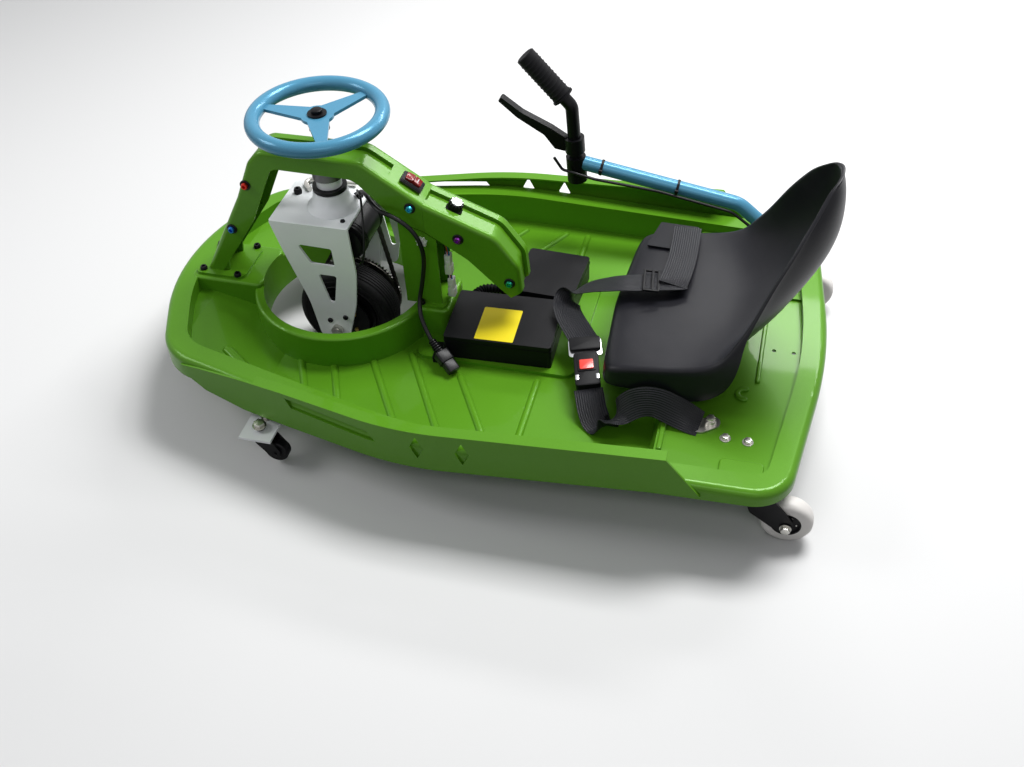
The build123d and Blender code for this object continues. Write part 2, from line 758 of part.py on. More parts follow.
with BuildPart() as drive_sprocket:
    rod_y(steer_x, tyre_r, sprocket_r - chain_h / 2 - seat_gap, chain_y - 1.5, chain_y + 1.5)
    rod_y(steer_x, tyre_r, 18, chain_y, -30)
    with BuildSketch(Plane.XZ.offset(-chain_y - 10)):
        with Locations((steer_x, tyre_r)):
            with PolarLocations(42, 5, start_angle=90):
                Circle(14)
    extrude(amount=20, mode=Mode.SUBTRACT)
    rod_y(steer_x, tyre_r, axle_r + running, -60, 0, mode=Mode.SUBTRACT)
finish(drive_sprocket, "drive_sprocket")

# Driven wheel
with BuildPart() as drive_rim:
    rod_y(steer_x, tyre_r, rim_r, -23, 23)
    rod_y(steer_x, tyre_r, rim_r - 5, -24, -4, mode=Mode.SUBTRACT)
    rod_y(steer_x, tyre_r, rim_r - 5, 4, 24, mode=Mode.SUBTRACT)
    rod_y(steer_x, tyre_r, 18, -30 + seat_gap, 38)
    rod_y(steer_x, tyre_r, 46, 33, 36)
    rod_y(steer_x, tyre_r, axle_r + running, -60, 60, mode=Mode.SUBTRACT)
finish(drive_rim, "drive_rim")

with BuildPart() as drive_tyre:
    half = tyre_w / 2
    low = rim_r + seat_gap
    with BuildSketch(Plane.YZ.offset(steer_x)):
        with BuildLine():
            Polyline((-half + 3, tyre_r + low), (half - 3, tyre_r + low))
            ThreePointArc(
                (half - 3, tyre_r + low), (half, tyre_r + low + 16), (half - 11, 2 * tyre_r - 3)
            )
            ThreePointArc(
                (half - 11, 2 * tyre_r - 3), (0, 2 * tyre_r), (-half + 11, 2 * tyre_r - 3)
            )
            ThreePointArc(
                (-half + 11, 2 * tyre_r - 3), (-half, tyre_r + low + 16), (-half + 3, tyre_r + low)
            )
        make_face()
    revolve(axis=Axis((steer_x, 0, tyre_r), (0, 1, 0)))
finish(drive_tyre, "drive_tyre")

with BuildPart() as drive_axle:
    rod_y(steer_x, tyre_r, axle_r, -fork_half - 8, fork_half + 8)
    rod_y(steer_x, tyre_r, 10, fork_half + seat_gap, fork_half + 7)
    rod_y(steer_x, tyre_r, 10, -fork_half - 7, -fork_half - seat_gap)
finish(drive_axle, "drive_axle")

# Electrical boxes on the platform
box_low = box_deck_z + seat_gap
box_top = 134.0
with BuildPart() as controller_box:
    with BuildSketch(Plane.XY.offset(box_low)):
        with Locations(Location((-24, 33), 2)):
            RectangleRounded(172, 118, 5)
    extrude(amount=box_top - box_low)
finish(controller_box, "controller_box")

with BuildPart() as battery_box:
    with BuildSketch(Plane.XY.offset(box_low)):
        with Locations(Location((-70, -96), -3)):
            RectangleRounded(104, 116, 6)
    extrude(amount=box_top - box_low)
finish(battery_box, "battery_box")

with BuildPart() as conduit:
    conduit_r = 9.0
    conduit_z = box_low + conduit_r
    with BuildLine():
        FilletPolyline(
            (52, -36, conduit_z), (44, -74, conduit_z), (-15, -78, conduit_z), radius=24
        )
    with BuildSketch(Plane((52, -36, conduit_z), z_dir=(-8, -38, 0))):
        Circle(conduit_r)
    sweep()
finish(conduit, "conduit")

with BuildPart() as wire_connectors:
    prism_box(62, 75, 5, 20, 196, 232)
    prism_box(62, 75, 3, 19, 152, 186)
    rod_z(76, 12, 2.8, leg_low + leg_foot_t + seat_gap, 250)
finish(wire_connectors, "wire_connectors")

# Seat: tray with turned-down edges and a deep bucket back
seat_rise = 0.12
seat_top_front = 187.0


def seat_height(x):
    """Height of the seat's upper face."""
    return seat_top_front + (seat_front - x) * seat_rise


def tray(grow):
    """Block of the seat's tray, its faces moved inward by an amount."""
    plan = [(seat_front, 172, 46), (-372, 172, 60), (-426, 64, 60)]
    plan += [(x, -y, r) for x, y, r in plan[::-1]]
    with BuildPart() as block:
        with BuildSketch(Plane.XY.offset(100)):
            with BuildLine() as outline:
                FilletPolyline(*[p[:2] for p in plan], radius=[p[2] for p in plan], close=True)
            make_face(outline.edges())
            if grow:
                offset(amount=-grow)
        extrude(amount=160)
        with BuildSketch(Plane.XZ):
            side_face(
                [
                    (-150, seat_height(-150) - grow),
                    (-460, seat_height(-460) - grow),
                    (-460, 300),
                    (-150, 300),
                ]
            )
        extrude(amount=300, both=True, mode=Mode.SUBTRACT)
        top = block.faces().sort_by(Axis.Z)[-1]
        fillet(top.edges(), 20 - grow)
    return block.part


# level sections of the back: height, x of the rear face, half width, depth of the sides
seat_sections = [
    (180, -434, 158, 100),
    (205, -446, 158, 96),
    (250, -469, 149, 79),
    (300, -499, 131, 86),
    (350, -514, 108, 78),
    (395, -511, 81, 54),
    (425, -507, 47, 30),
    (448, -499, 14, 12),
]

with BuildPart() as seat_bucket:
    for z, x, half, depth in seat_sections:
        with BuildSketch(Plane.XY.offset(z)):
            with BuildLine() as outline:
                outer = ThreePointArc((x + depth, -half), (x, 0), (x + depth, half))
                inner = ThreePointArc(
                    (x + depth, half - seat_t), (x + seat_t, 0), (x + depth, seat_t - half)
                )
                Line(outer @ 1, inner @ 0)
                Line(inner @ 1, outer @ 0)
            make_face(outline.edges())
    loft()

with BuildPart() as seat:
    add(tray(0))
    add(seat_bucket.part)
    add(tray(seat_t), mode=Mode.SUBTRACT)
    with BuildSketch(Plane.XZ):
        side_face([(-100, 158), (-262, 154), (-330, 140), (-460, 140), (-460, 0), (-100, 0)])
    extrude(amount=300, both=True, mode=Mode.SUBTRACT)
    with Locations((-245, 97, 190), (-245, -97, 190), (-345, 130, 200), (-345, -130, 200)):
        Cylinder(5, 60, mode=Mode.SUBTRACT)
finish(seat, "seat")

# Rails under the seat: x range, foot height
seat_rails = [(-262, -240, floor_z), (-372, -350, deck_z)]
with BuildPart() as seat_mount:
    for x0, x1, low in seat_rails:
        with BuildSketch(Plane.XZ.offset(-115)):
            side_face(
                [
                    (x0, low + seat_gap),
                    (x1, low + seat_gap),
                    (x1, seat_height(x1) - seat_t - seat_gap),
                    (x0, seat_height(x0) - seat_t - seat_gap),
                ]
            )
        extrude(amount=230)
        prism_box(x0 - 5, x1 + 5, -95, 95, low + 20, seat_height(x1) - 22, mode=Mode.SUBTRACT)
finish(seat_mount, "seat_mount")


def ribbon(stations, width, thick):
    """Webbing through stations (x, y, z, across x, across y, across z)."""
    count = len(stations)
    with BuildPart() as strap:
        for i, station in enumerate(stations):
            before = stations[max(i - 1, 0)]
            after = stations[min(i + 1, count - 1)]
            run = Vector(*[after[k] - before[k] for k in range(3)])
            across = Vector(*station[3:]) - run * (Vector(*station[3:]).dot(run) / run.dot(run))
            with BuildSketch(Plane(station[:3], x_dir=across, z_dir=run)):
                Rectangle(width, thick)
        loft(ruled=True)
    return strap.part


# Belt: webbing, buckle with tongue, anchors
web_w = 44.0
web_t = 2.2
anchor_x = -364.0
anchor_y = 187.0
anchor_t = 2.5
near_web = [
    (-348, 200, 122.3, 0.2, 1, 0),
    (-322, 205, 136, 0.2, 1, 0),
    (-292, 208, 152, 0.1, 1, 0.1),
    (-262, 211, 146, 0, 1, 0.1),
    (-238, 213, 118, 0, 1, 0),
    (-214, 212, 97, 0.2, 1, 0),
    (-190, 200, 98, 0.6, 1, 0),
    (-174, 178, 118, 0.85, 0.6, 0),
    (-159.8, 155.7, 143, 0.85, 0.6, 0),
]
far_web = [
    (-300, -112, 205, 1, 0.2, 0),
    (-286, -84, 206, 1, 0.35, 0),
    (-262, -62, 204, 0.7, 0.7, 0),
    (-226, -48, 198, 0.4, 1, 0),
    (-190, -46, 190, 0, 1, 0),
    (-160, -46, 162, 0, 1, 0),
    (-140, -34, 140, 0.2, 1, 0),
    (-128, -4, 140, 1, 0.3, 0),
    (-130, 30, 144, 1, 0.1, 0),
]
with BuildPart() as belt_strap_left:
    add(ribbon(near_web, web_w, web_t))
finish(belt_strap_left, "belt_strap_left")

with BuildPart() as belt_strap_right:
    add(ribbon(far_web, web_w, web_t))
finish(belt_strap_right, "belt_strap_right")

buckle_plane = Plane((-160, 156, 136), x_dir=(0.57, -0.82, 0.05), z_dir=(0, 0.06, 1))
with BuildPart() as belt_buckle:
    with BuildSketch(buckle_plane):
        with Locations((34, 0)):
            RectangleRounded(64, 44, 6)
    extrude(amount=17)
finish(belt_buckle, "belt_buckle")

with BuildPart() as belt_tongue:
    with BuildSketch(buckle_plane.offset(7)):
        with Locations((66 + seat_gap + 17, 0)):
            RectangleRounded(34, 46, 5)
        with Locations((66 + seat_gap + 24, 0)):
            Rectangle(6, 34, mode=Mode.SUBTRACT)
    extrude(amount=3)
finish(belt_tongue, "belt_tongue")

with BuildPart() as belt_flap:
    with BuildSketch(Plane((-262, -150, seat_height(-262) + 0.5), z_dir=(seat_rise, 0, 1))):
        RectangleRounded(66, 66, 3, rotation=-12)
    extrude(amount=3)
finish(belt_flap, "belt_flap")

with BuildPart() as belt_anchors:
    for side in (1, -1):
        with BuildSketch(Plane.XY.offset(deck_z + seat_gap)):
            with Locations(Location((anchor_x, side * anchor_y), side * 38)):
                SlotOverall(44, 24)
        extrude(amount=anchor_t)
        rod_z(anchor_x - 6, side * (anchor_y - 4), 8, deck_z + seat_gap + 1, deck_z + 9)
finish(belt_anchors, "belt_anchors")


def tube(points, radii, diameter):
    """Round bar or cable along straight runs joined by arcs."""
    with BuildPart() as bar:
        with BuildLine():
            FilletPolyline(*points, radius=radii)
        run = [points[1][k] - points[0][k] for k in range(3)]
        with BuildSketch(Plane(points[0], z_dir=run)):
            Circle(diameter / 2)
        sweep()
    return bar.part


# Motor cable, from the fork's gland to the charging plug beside the controller
motor_cable_d = 7.0
motor_cable_points = [
    (224, -29, 293.7),
    (208, -12, 322),
    (168, 38, 318),
    (138, 43, 314),
    (108, 43, 292),
    (95, 42, 250),
    (103, 44, 196),
    (110, 54, 158),
    (98, 78, 138),
    (80, 94, 122),
]
with BuildPart() as motor_cable:
    add(tube(motor_cable_points, [31, 34, 44, 44, 60, 60, 29, 50], motor_cable_d))
finish(motor_cable, "motor_cable")

plug_plane = Plane((79.6, 94.4, 121.6), z_dir=(-30, 22, -18))
with BuildPart() as cable_plug:
    with BuildSketch(plug_plane):
        Circle(7)
    extrude(amount=26)
    with BuildSketch(plug_plane.offset(25)):
        RectangleRounded(24, 18, 4)
    extrude(amount=38)
finish(cable_plug, "cable_plug")

# Drift axle: tube with a tilted head plate at each end
head_z = 88.0
head_t = 6.0
head_w = 50.0
lean = (sin(radians(caster_tilt)), 0, cos(radians(caster_tilt)))
swivel_x = caster_x + caster_trail
head_x = swivel_x + (head_z - caster_wheel_r) * tan(radians(caster_tilt))


def swivel_plane(side, drop=0.0):
    """Plane square to the swivel axis at the head plate's middle, moved down it."""
    return Plane(
        (head_x - lean[0] * drop, side * caster_y, head_z - lean[2] * drop),
        x_dir=(lean[2], 0, -lean[0]),
        z_dir=lean,
    )


with BuildPart() as drift_axle:
    rod_y(drift_x, drift_z, drift_r, -caster_y - 24, caster_y + 24)
    for side in (1, -1):
        with BuildSketch(swivel_plane(side, head_t / 2)):
            with Locations((2, 0)):
                RectangleRounded(54, head_w, 6)
        extrude(amount=head_t)
        with BuildSketch(swivel_plane(side, head_t)):
            Circle(8 + running)
        extrude(amount=2 * head_t, mode=Mode.SUBTRACT)
finish(drift_axle, "drift_axle")

with BuildPart() as drift_axle_brackets:
    for side in (1, -1):
        for place in (0.56, 0.85):
            y = side * caster_y * place
            with BuildSketch(Plane.XZ.offset(-y - 3)):
                side_face(
                    [
                        (drift_x - 22, deck_z - sheet - seat_gap),
                        (drift_x + 22, deck_z - sheet - seat_gap),
                        (drift_x + 16, drift_z - 16),
                        (drift_x - 16, drift_z - 16),
                    ]
                )
                with Locations((drift_x, drift_z)):
                    Circle(drift_r + running, mode=Mode.SUBTRACT)
            extrude(amount=6)
            prism_box(
                drift_x - 22, drift_x + 22, y - 12, y + 12,
                deck_z - sheet - seat_gap - 3, deck_z - sheet - seat_gap,
            )
finish(drift_axle_brackets, "drift_axle_brackets")

# Drift bar and its upright stem with grip and lever
stem_points = [(-78, bar_y, 205), (-68, bar_y, 345), (2, bar_y, 421)]
stem_d = 22.0
collar_r = 17.0
stem_dir = (10, 0, 140)
with BuildPart() as bar_stem:
    add(tube(stem_points, [18], stem_d))
    with BuildSketch(Plane((-78, bar_y, 206), z_dir=stem_dir)):
        Circle(collar_r)
    extrude(amount=46)
finish(bar_stem, "bar_stem")

bar_points = [(-88, bar_y, 240), (-355, bar_y, 191.5), (-404, bar_y, 150), (-417, bar_y, 96)]
with BuildPart() as drift_bar:
    add(tube(bar_points, [45, 40], 2 * bar_r))
    rod_y(drift_x, drift_z, drift_r + seat_gap, bar_y - 40, bar_y + 40, mode=Mode.SUBTRACT)
    with BuildSketch(Plane((-78, bar_y, 205), z_dir=stem_dir)):
        Circle(collar_r + seat_gap)
    extrude(amount=90, both=True, mode=Mode.SUBTRACT)
finish(drift_bar, "drift_bar")

grip_dir = (70, 0, 76)
with BuildPart() as bar_grip:
    with BuildSketch(Plane((-54, bar_y, 360.2), z_dir=grip_dir)):
        Circle(16.5)
    extrude(amount=92)
    with BuildSketch(Plane((-60, bar_y, 353.7), z_dir=grip_dir)):
        Circle(stem_d / 2 + seat_gap)
    extrude(amount=94, mode=Mode.SUBTRACT)
finish(bar_grip, "bar_grip")

with BuildPart() as brake_lever:
    with BuildSketch(Plane((-73.9, bar_y, 262), z_dir=stem_dir)):
        Circle(collar_r)
    extrude(amount=26)
    with BuildSketch(Plane.XZ.offset(-bar_y - 7)):
        rounded_side(
            [
                (-66, 262, 2), (-40, 266, 6), (-22, 290, 12), (24, 318, 30), (56, 346, 3),
                (50, 353, 3), (16, 328, 30), (-34, 304, 14), (-66, 284, 2),
            ]
        )
    extrude(amount=14)
    with BuildSketch(Plane((-78, bar_y, 205), z_dir=stem_dir)):
        Circle(stem_d / 2 + seat_gap)
    extrude(amount=160, mode=Mode.SUBTRACT)
finish(brake_lever, "brake_lever")

# Brake cable, clipped along the bar
brake_cable_d = 5.0
cable_y = bar_y + bar_r + brake_cable_d / 2 + 0.4
brake_cable_points = [
    (-42, cable_y + 6, 258),
    (-56, cable_y + 6, 236),
    (-112, cable_y + 4, 222),
    (-220, cable_y, 209),
    (-345, cable_y, 184),
    (-390, cable_y, 150),
    (-402, cable_y, 112),
]
with BuildPart() as brake_cable:
    add(tube(brake_cable_points, [10, 20, 40, 40, 26], brake_cable_d))
finish(brake_cable, "brake_cable")

# Rear casters: fork and wheel on a forward-leaning swivel
axle_pin_r = 4.0
cheek_gap = 2.0
cheek_t = 3.0
for side, name in ((1, "left"), (-1, "right")):
    y = side * caster_y
    with BuildPart() as rear_fork:
        with BuildSketch(swivel_plane(side, head_t / 2 + seat_gap + 4)):
            Circle(22)
        extrude(amount=4)
        with BuildSketch(swivel_plane(side, head_t / 2 + seat_gap + 1)):
            Circle(8)
        extrude(amount=head_t + 3)
        inner = caster_wheel_w / 2 + cheek_gap
        for start in (y + inner, y - inner - cheek_t):
            with BuildSketch(Plane.XZ.offset(-start - cheek_t)):
                rounded_side(
                    [
                        (head_x - 24, head_z, 0),
                        (head_x + 18, head_z, 0),
                        (head_x + 8, head_z - 30, 12),
                        (caster_x + 11, caster_wheel_r - 10, 8),
                        (caster_x - 10, caster_wheel_r - 8, 6),
                        (caster_x - 9, caster_wheel_r + 12, 10),
                    ]
                )
            extrude(amount=cheek_t)
        rod_y(caster_x, caster_wheel_r, axle_pin_r, y - inner - 5, y + inner + 5)
        with BuildSketch(swivel_plane(side, head_t / 2 + seat_gap)):
            Rectangle(140, 120)
            Circle(8, mode=Mode.SUBTRACT)
        extrude(amount=40, mode=Mode.SUBTRACT)
    finish(rear_fork, f"rear_caster_fork_{name}")
    with BuildPart() as rear_wheel:
        rod_y(caster_x, caster_wheel_r, caster_wheel_r, y - caster_wheel_w / 2, y + caster_wheel_w / 2)
        fillet(rear_wheel.edges().filter_by(GeomType.CIRCLE), 6)
        rod_y(
            caster_x, caster_wheel_r, axle_pin_r + running, y - 30, y + 30, mode=Mode.SUBTRACT
        )
    finish(rear_wheel, f"rear_caster_wheel_{name}")

# Front anti-tip casters: stepped bracket, fork and small wheel
bracket_t = 4.0
bracket_top = 66.0
tip_wheel_z = tip_lift + tip_wheel_r
tip_wheel_x = tip_x - tip_trail
for side, name in ((1, "left"), (-1, "right")):
    y = side * tip_y
    inner_y = side * 196
    step_y = side * 232
    ends = sorted((inner_y, step_y))
    with BuildPart() as bracket:
        prism_box(
            tip_x - 26, tip_x + 26, *ends, floor_z - sheet - seat_gap - bracket_t,
            floor_z - sheet - seat_gap,
        )
        prism_box(
            tip_x - 26, tip_x + 26, *sorted((step_y - side * bracket_t, step_y)),
            bracket_top - bracket_t, floor_z - sheet - seat_gap,
        )
        prism_box(
            tip_x - 26, tip_x + 26, *sorted((step_y - side * bracket_t, side * (tip_y + 24))),
            bracket_top - bracket_t, bracket_top,
        )
        rod_z(tip_x, y, 6 + running, 50, 80, mode=Mode.SUBTRACT)
    finish(bracket, f"front_caster_bracket_{name}")
    with BuildPart() as tip_fork:
        low = bracket_top - bracket_t - seat_gap
        rod_z(tip_x, y, 17, low - 3, low)
        rod_z(tip_x, y, 6, low - 1, bracket_top + 7)
        inner = tip_wheel_w / 2 + 1.5
        for start in (y + inner, y - inner - 2.5):
            with BuildSketch(Plane.XZ.offset(-start - 2.5)):
                rounded_side(
                    [
                        (tip_x - 14, low, 0),
                        (tip_x + 13, low, 0),
                        (tip_x + 6, low - 16, 8),
                        (tip_wheel_x + 8, tip_wheel_z - 7, 4),
                        (tip_wheel_x - 8, tip_wheel_z - 7, 4),
                        (tip_wheel_x - 9, tip_wheel_z + 8, 6),
                    ]
                )
            extrude(amount=2.5)
        rod_y(tip_wheel_x, tip_wheel_z, 3, y - inner - 4, y + inner + 4)
    finish(tip_fork, f"front_caster_fork_{name}")
    with BuildPart() as tip_wheel:
        rod_y(tip_wheel_x, tip_wheel_z, tip_wheel_r, y - tip_wheel_w / 2, y + tip_wheel_w / 2)
        fillet(tip_wheel.edges().filter_by(GeomType.CIRCLE), 3)
        rod_y(tip_wheel_x, tip_wheel_z, 3 + running, y - 20, y + 20, mode=Mode.SUBTRACT)
    finish(tip_wheel, f"front_caster_wheel_{name}")
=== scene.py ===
"""Looks of an electric drift kart: paint, plastics, webbing, cables, tyres, fasteners and studio.

Metres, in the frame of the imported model: +X to the nose, +Y to the rider's left, +Z up.
"""
import math

import bmesh
import bpy
from mathutils import Matrix, Vector


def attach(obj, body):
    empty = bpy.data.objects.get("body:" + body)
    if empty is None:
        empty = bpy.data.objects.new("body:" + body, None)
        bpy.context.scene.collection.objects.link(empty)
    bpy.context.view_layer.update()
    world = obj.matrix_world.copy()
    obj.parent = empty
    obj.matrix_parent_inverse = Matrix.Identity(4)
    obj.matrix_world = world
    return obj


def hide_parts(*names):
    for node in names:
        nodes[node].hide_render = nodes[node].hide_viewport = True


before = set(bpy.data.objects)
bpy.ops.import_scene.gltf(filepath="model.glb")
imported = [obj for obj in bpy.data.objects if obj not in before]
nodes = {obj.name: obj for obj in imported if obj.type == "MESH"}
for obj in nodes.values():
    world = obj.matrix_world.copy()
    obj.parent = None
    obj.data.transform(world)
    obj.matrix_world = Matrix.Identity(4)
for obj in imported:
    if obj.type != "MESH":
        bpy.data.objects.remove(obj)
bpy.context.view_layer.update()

# driving sizes
STEER_X = 0.255
TYRE_R = 0.085
BAR_Y = -0.270
BRIDGE_HALF = 0.031
CHAIN_Y = -0.047
SPROCKET_R = 0.071
PINION_R = 0.013
MOTOR = (0.223, 0.2547)
CHAIN_PITCH = 0.00635
GLAND = (0.224, -0.029)
REAR_WHEEL = (-0.4945, 0.265, 0.0375)
WEB_W = 0.044
WEB_T = 0.0022
WEAVE_PITCH = 0.0016
RIB_PITCH = 0.0034


# materials
def new_material(name):
    """A node material and its tree, principled node and object coordinates."""
    mat = bpy.data.materials.new(name)
    mat.use_nodes = True
    tree = mat.node_tree
    shader = tree.nodes["Principled BSDF"]
    coord = tree.nodes.new("ShaderNodeTexCoord")
    return mat, tree, shader, coord


def noise(tree, coord, scale, detail=3.0, rough=0.5):
    """Noise in object space."""
    node = tree.nodes.new("ShaderNodeTexNoise")
    node.inputs["Scale"].default_value = scale
    node.inputs["Detail"].default_value = detail
    node.inputs["Roughness"].default_value = rough
    tree.links.new(coord.outputs["Object"], node.inputs["Vector"])
    return node


def ramp(tree, source, stops):
    """Colour ramp from (position, colour) stops."""
    node = tree.nodes.new("ShaderNodeValToRGB")
    elements = node.color_ramp.elements
    while len(elements) < len(stops):
        elements.new(0.5)
    for element, (at, colour) in zip(elements, stops):
        element.position = at
        element.color = (*colour, 1)
    tree.links.new(source, node.inputs["Fac"])
    return node


def spread(tree, source, low, high):
    """Map a 0 to 1 value onto a range."""
    node = tree.nodes.new("ShaderNodeMapRange")
    node.inputs["To Min"].default_value = low
    node.inputs["To Max"].default_value = high
    tree.links.new(source, node.inputs["Value"])
    return node


def multiply(tree, first, second, share):
    """Two colours multiplied by a share."""
    mix = tree.nodes.new("ShaderNodeMix")
    mix.data_type = "RGBA"
    mix.blend_type = "MULTIPLY"
    mix.inputs["Factor"].default_value = share
    tree.links.new(first.outputs["Color"], mix.inputs[6])
    tree.links.new(second.outputs["Color"], mix.inputs[7])
    return mix.outputs[2]


def bump(tree, source, strength, distance, shader):
    """Fine relief from a height value."""
    node = tree.nodes.new("ShaderNodeBump")
    node.inputs["Strength"].default_value = strength
    node.inputs["Distance"].default_value = distance
    tree.links.new(source, node.inputs["Height"])
    tree.links.new(node.outputs["Normal"], shader.inputs["Normal"])


def metallic_paint(name, colour, dark, light, metallic=0.08, rough=0.3, flake=1500, coat=0.16):
    """Metallic paint: fine flake in the tint under a thin clear coat."""
    mat, tree, shader, coord = new_material(name)
    flakes = noise(tree, coord, flake, 2.0, 0.6)
    cloud = noise(tree, coord, 7, 2.0)
    tint = ramp(tree, flakes.outputs["Fac"], [(0.32, dark), (0.5, colour), (0.72, light)])
    shade = ramp(tree, cloud.outputs["Fac"], [(0.3, (0.7, 0.7, 0.7)), (0.7, (1, 1, 1))])
    tree.links.new(multiply(tree, tint, shade, 0.12), shader.inputs["Base Color"])
    gloss = spread(tree, cloud.outputs["Fac"], rough - 0.04, rough + 0.05)
    tree.links.new(gloss.outputs["Result"], shader.inputs["Roughness"])
    shader.inputs["Metallic"].default_value = metallic
    shader.inputs["Specular IOR Level"].default_value = 0.1
    shader.inputs["Coat Weight"].default_value = coat
    shader.inputs["Coat Roughness"].default_value = 0.05
    peel = noise(tree, coord, 260, 1.0)
    bump(tree, peel.outputs["Fac"], 0.05, 0.0006, shader)
    return mat


def coating(name, colour, rough=0.45, grain=500, depth=0.25, height=0.0004, wear=0.12, metallic=0.0, coat=0.0,
            spec=0.5):
    """Powder coat, plastic or rubber: grain in the relief, slight colour and gloss variation."""
    mat, tree, shader, coord = new_material(name)
    fine = noise(tree, coord, grain, 3.0, 0.6)
    broad = noise(tree, coord, 9, 4.0, 0.6)
    low = tuple(c * (1 - wear) for c in colour)
    high = tuple(min(1.0, c * (1 + wear) + 0.004) for c in colour)
    tint = ramp(tree, broad.outputs["Fac"], [(0.3, low), (0.5, colour), (0.72, high)])
    tree.links.new(tint.outputs["Color"], shader.inputs["Base Color"])
    gloss = spread(tree, broad.outputs["Fac"], max(0.03, rough - 0.08), min(1.0, rough + 0.1))
    tree.links.new(gloss.outputs["Result"], shader.inputs["Roughness"])
    shader.inputs["Metallic"].default_value = metallic
    shader.inputs["Coat Weight"].default_value = coat
    shader.inputs["Specular IOR Level"].default_value = spec
    bump(tree, fine.outputs["Fac"], depth, height, shader)
    return mat


def webbing(name, colour, sheen):
    """Woven belt: ribs across the strap, on its own UV (metres along and across), with painted shade darkening the
    grooves between the ribs.
    """
    mat, tree, shader, coord = new_material(name)
    split = tree.nodes.new("ShaderNodeSeparateXYZ")
    tree.links.new(coord.outputs["UV"], split.inputs["Vector"])

    def waves(axis, pitch):
        scaled = tree.nodes.new("ShaderNodeMath")
        scaled.operation = "MULTIPLY"
        scaled.inputs[1].default_value = 2 * math.pi / pitch
        tree.links.new(split.outputs[axis], scaled.inputs[0])
        sine = tree.nodes.new("ShaderNodeMath")
        sine.operation = "SINE"
        tree.links.new(scaled.outputs[0], sine.inputs[0])
        return sine

    along = waves("X", WEAVE_PITCH)
    across = waves("Y", RIB_PITCH)
    both = tree.nodes.new("ShaderNodeMath")
    both.operation = "MULTIPLY_ADD"
    both.inputs[1].default_value = 0.6
    tree.links.new(along.outputs[0], both.inputs[0])
    tree.links.new(across.outputs[0], both.inputs[2])
    broad = noise(tree, coord, 22, 3.0)
    tint = ramp(tree, broad.outputs["Fac"], [(0.3, tuple(c * 0.7 for c in colour)), (0.7, colour)])
    # painted shade: the colour darkens where the weave's relief is low, in the grooves between the ribs
    lift = ramp(tree, both.outputs[0], [(0.0, (0.55, 0.55, 0.55)), (0.9, (1, 1, 1))])
    tree.links.new(multiply(tree, tint, lift, 0.8), shader.inputs["Base Color"])
    shader.inputs["Roughness"].default_value = 0.34
    shader.inputs["Specular IOR Level"].default_value = 0.2
    shader.inputs["Sheen Weight"].default_value = sheen
    bump(tree, both.outputs[0], 0.5, 0.0005, shader)
    return mat


GREEN = (0.090, 0.262, 0.011)
BLACK = (0.0035, 0.0035, 0.0045)
MAT = {
    "green": metallic_paint("green_paint", GREEN, (0.078, 0.23, 0.008), (0.108, 0.3, 0.016)),
    "blue": metallic_paint("blue_paint", (0.07, 0.25, 0.39), (0.058, 0.21, 0.34), (0.09, 0.3, 0.46), 0.12, 0.24),
    "white": coating("white_powder", (0.88, 0.9, 0.92), 0.34, 420, 0.2, 0.0004, 0.03, spec=0.5),
    "black_steel": coating("black_powder", BLACK, 0.34, 520, 0.25, spec=0.16),
    "plastic": coating("black_moulded", BLACK, 0.42, 900, 0.4, 0.0003, spec=0.13),
    "seat": coating("seat_moulded", (0.0065, 0.0065, 0.0095), 0.36, 1300, 0.4, 0.0003, spec=0.2),
    "rubber": coating("tyre_rubber", (0.007, 0.007, 0.0075), 0.6, 300, 0.35, 0.0006, 0.3, spec=0.14),
    "grip": coating("grip_rubber", BLACK, 0.55, 700, 0.4, spec=0.14),
    "cable": coating("cable_jacket", BLACK, 0.3, 600, 0.1, spec=0.2),
    "cream": coating("caster_tread", (0.82, 0.79, 0.76), 0.42, 250, 0.15, 0.0004, 0.1),
    "red": coating("red_plastic", (0.72, 0.03, 0.016), 0.3, 300, 0.05, 0.0003, 0.1, 0, 0.3),
    "dark_red": coating("rocker_red", (0.2, 0.006, 0.006), 0.16, 300, 0.05, 0.0003, 0.1, 0, 0.15, spec=0.2),
    "nylon": coating("white_nylon", (0.7, 0.71, 0.7), 0.4, 300, 0.1),
    "yellow": coating("yellow_label", (0.74, 0.6, 0.008), 0.45, 700, 0.08, 0.0002, 0.04, spec=0.3),
    "zinc": coating("zinc_plate", (0.5, 0.49, 0.46), 0.28, 300, 0.15, 0.0003, 0.12, 1.0),
    "chrome": coating("bright_plate", (0.5, 0.51, 0.53), 0.2, 300, 0.03, 0.0002, 0.05, 1.0),
    "alloy": coating("cast_alloy", (0.12, 0.12, 0.125), 0.4, 500, 0.3, 0.0004, 0.15, 1.0),
    "chain": coating("oiled_chain", (0.09, 0.085, 0.08), 0.34, 400, 0.2, 0.0003, 0.3, 0.9),
    "brass": coating("brass_fitting", (0.5, 0.36, 0.1), 0.35, 300, 0.1, 0.0003, 0.1, 1.0),
    "webbing": webbing("belt_webbing", (0.0065, 0.007, 0.012), 0.05),
}
for label, colour in (
    ("anod_red", (0.4, 0.02, 0.012)),
    ("anod_blue", (0.02, 0.12, 0.4)),
    ("anod_cyan", (0.03, 0.3, 0.45)),
    ("anod_purple", (0.2, 0.03, 0.3)),
    ("anod_green", (0.02, 0.3, 0.2)),
):
    MAT[label] = coating(label, colour, 0.25, 300, 0.05, 0.0002, 0.1, 0.9)

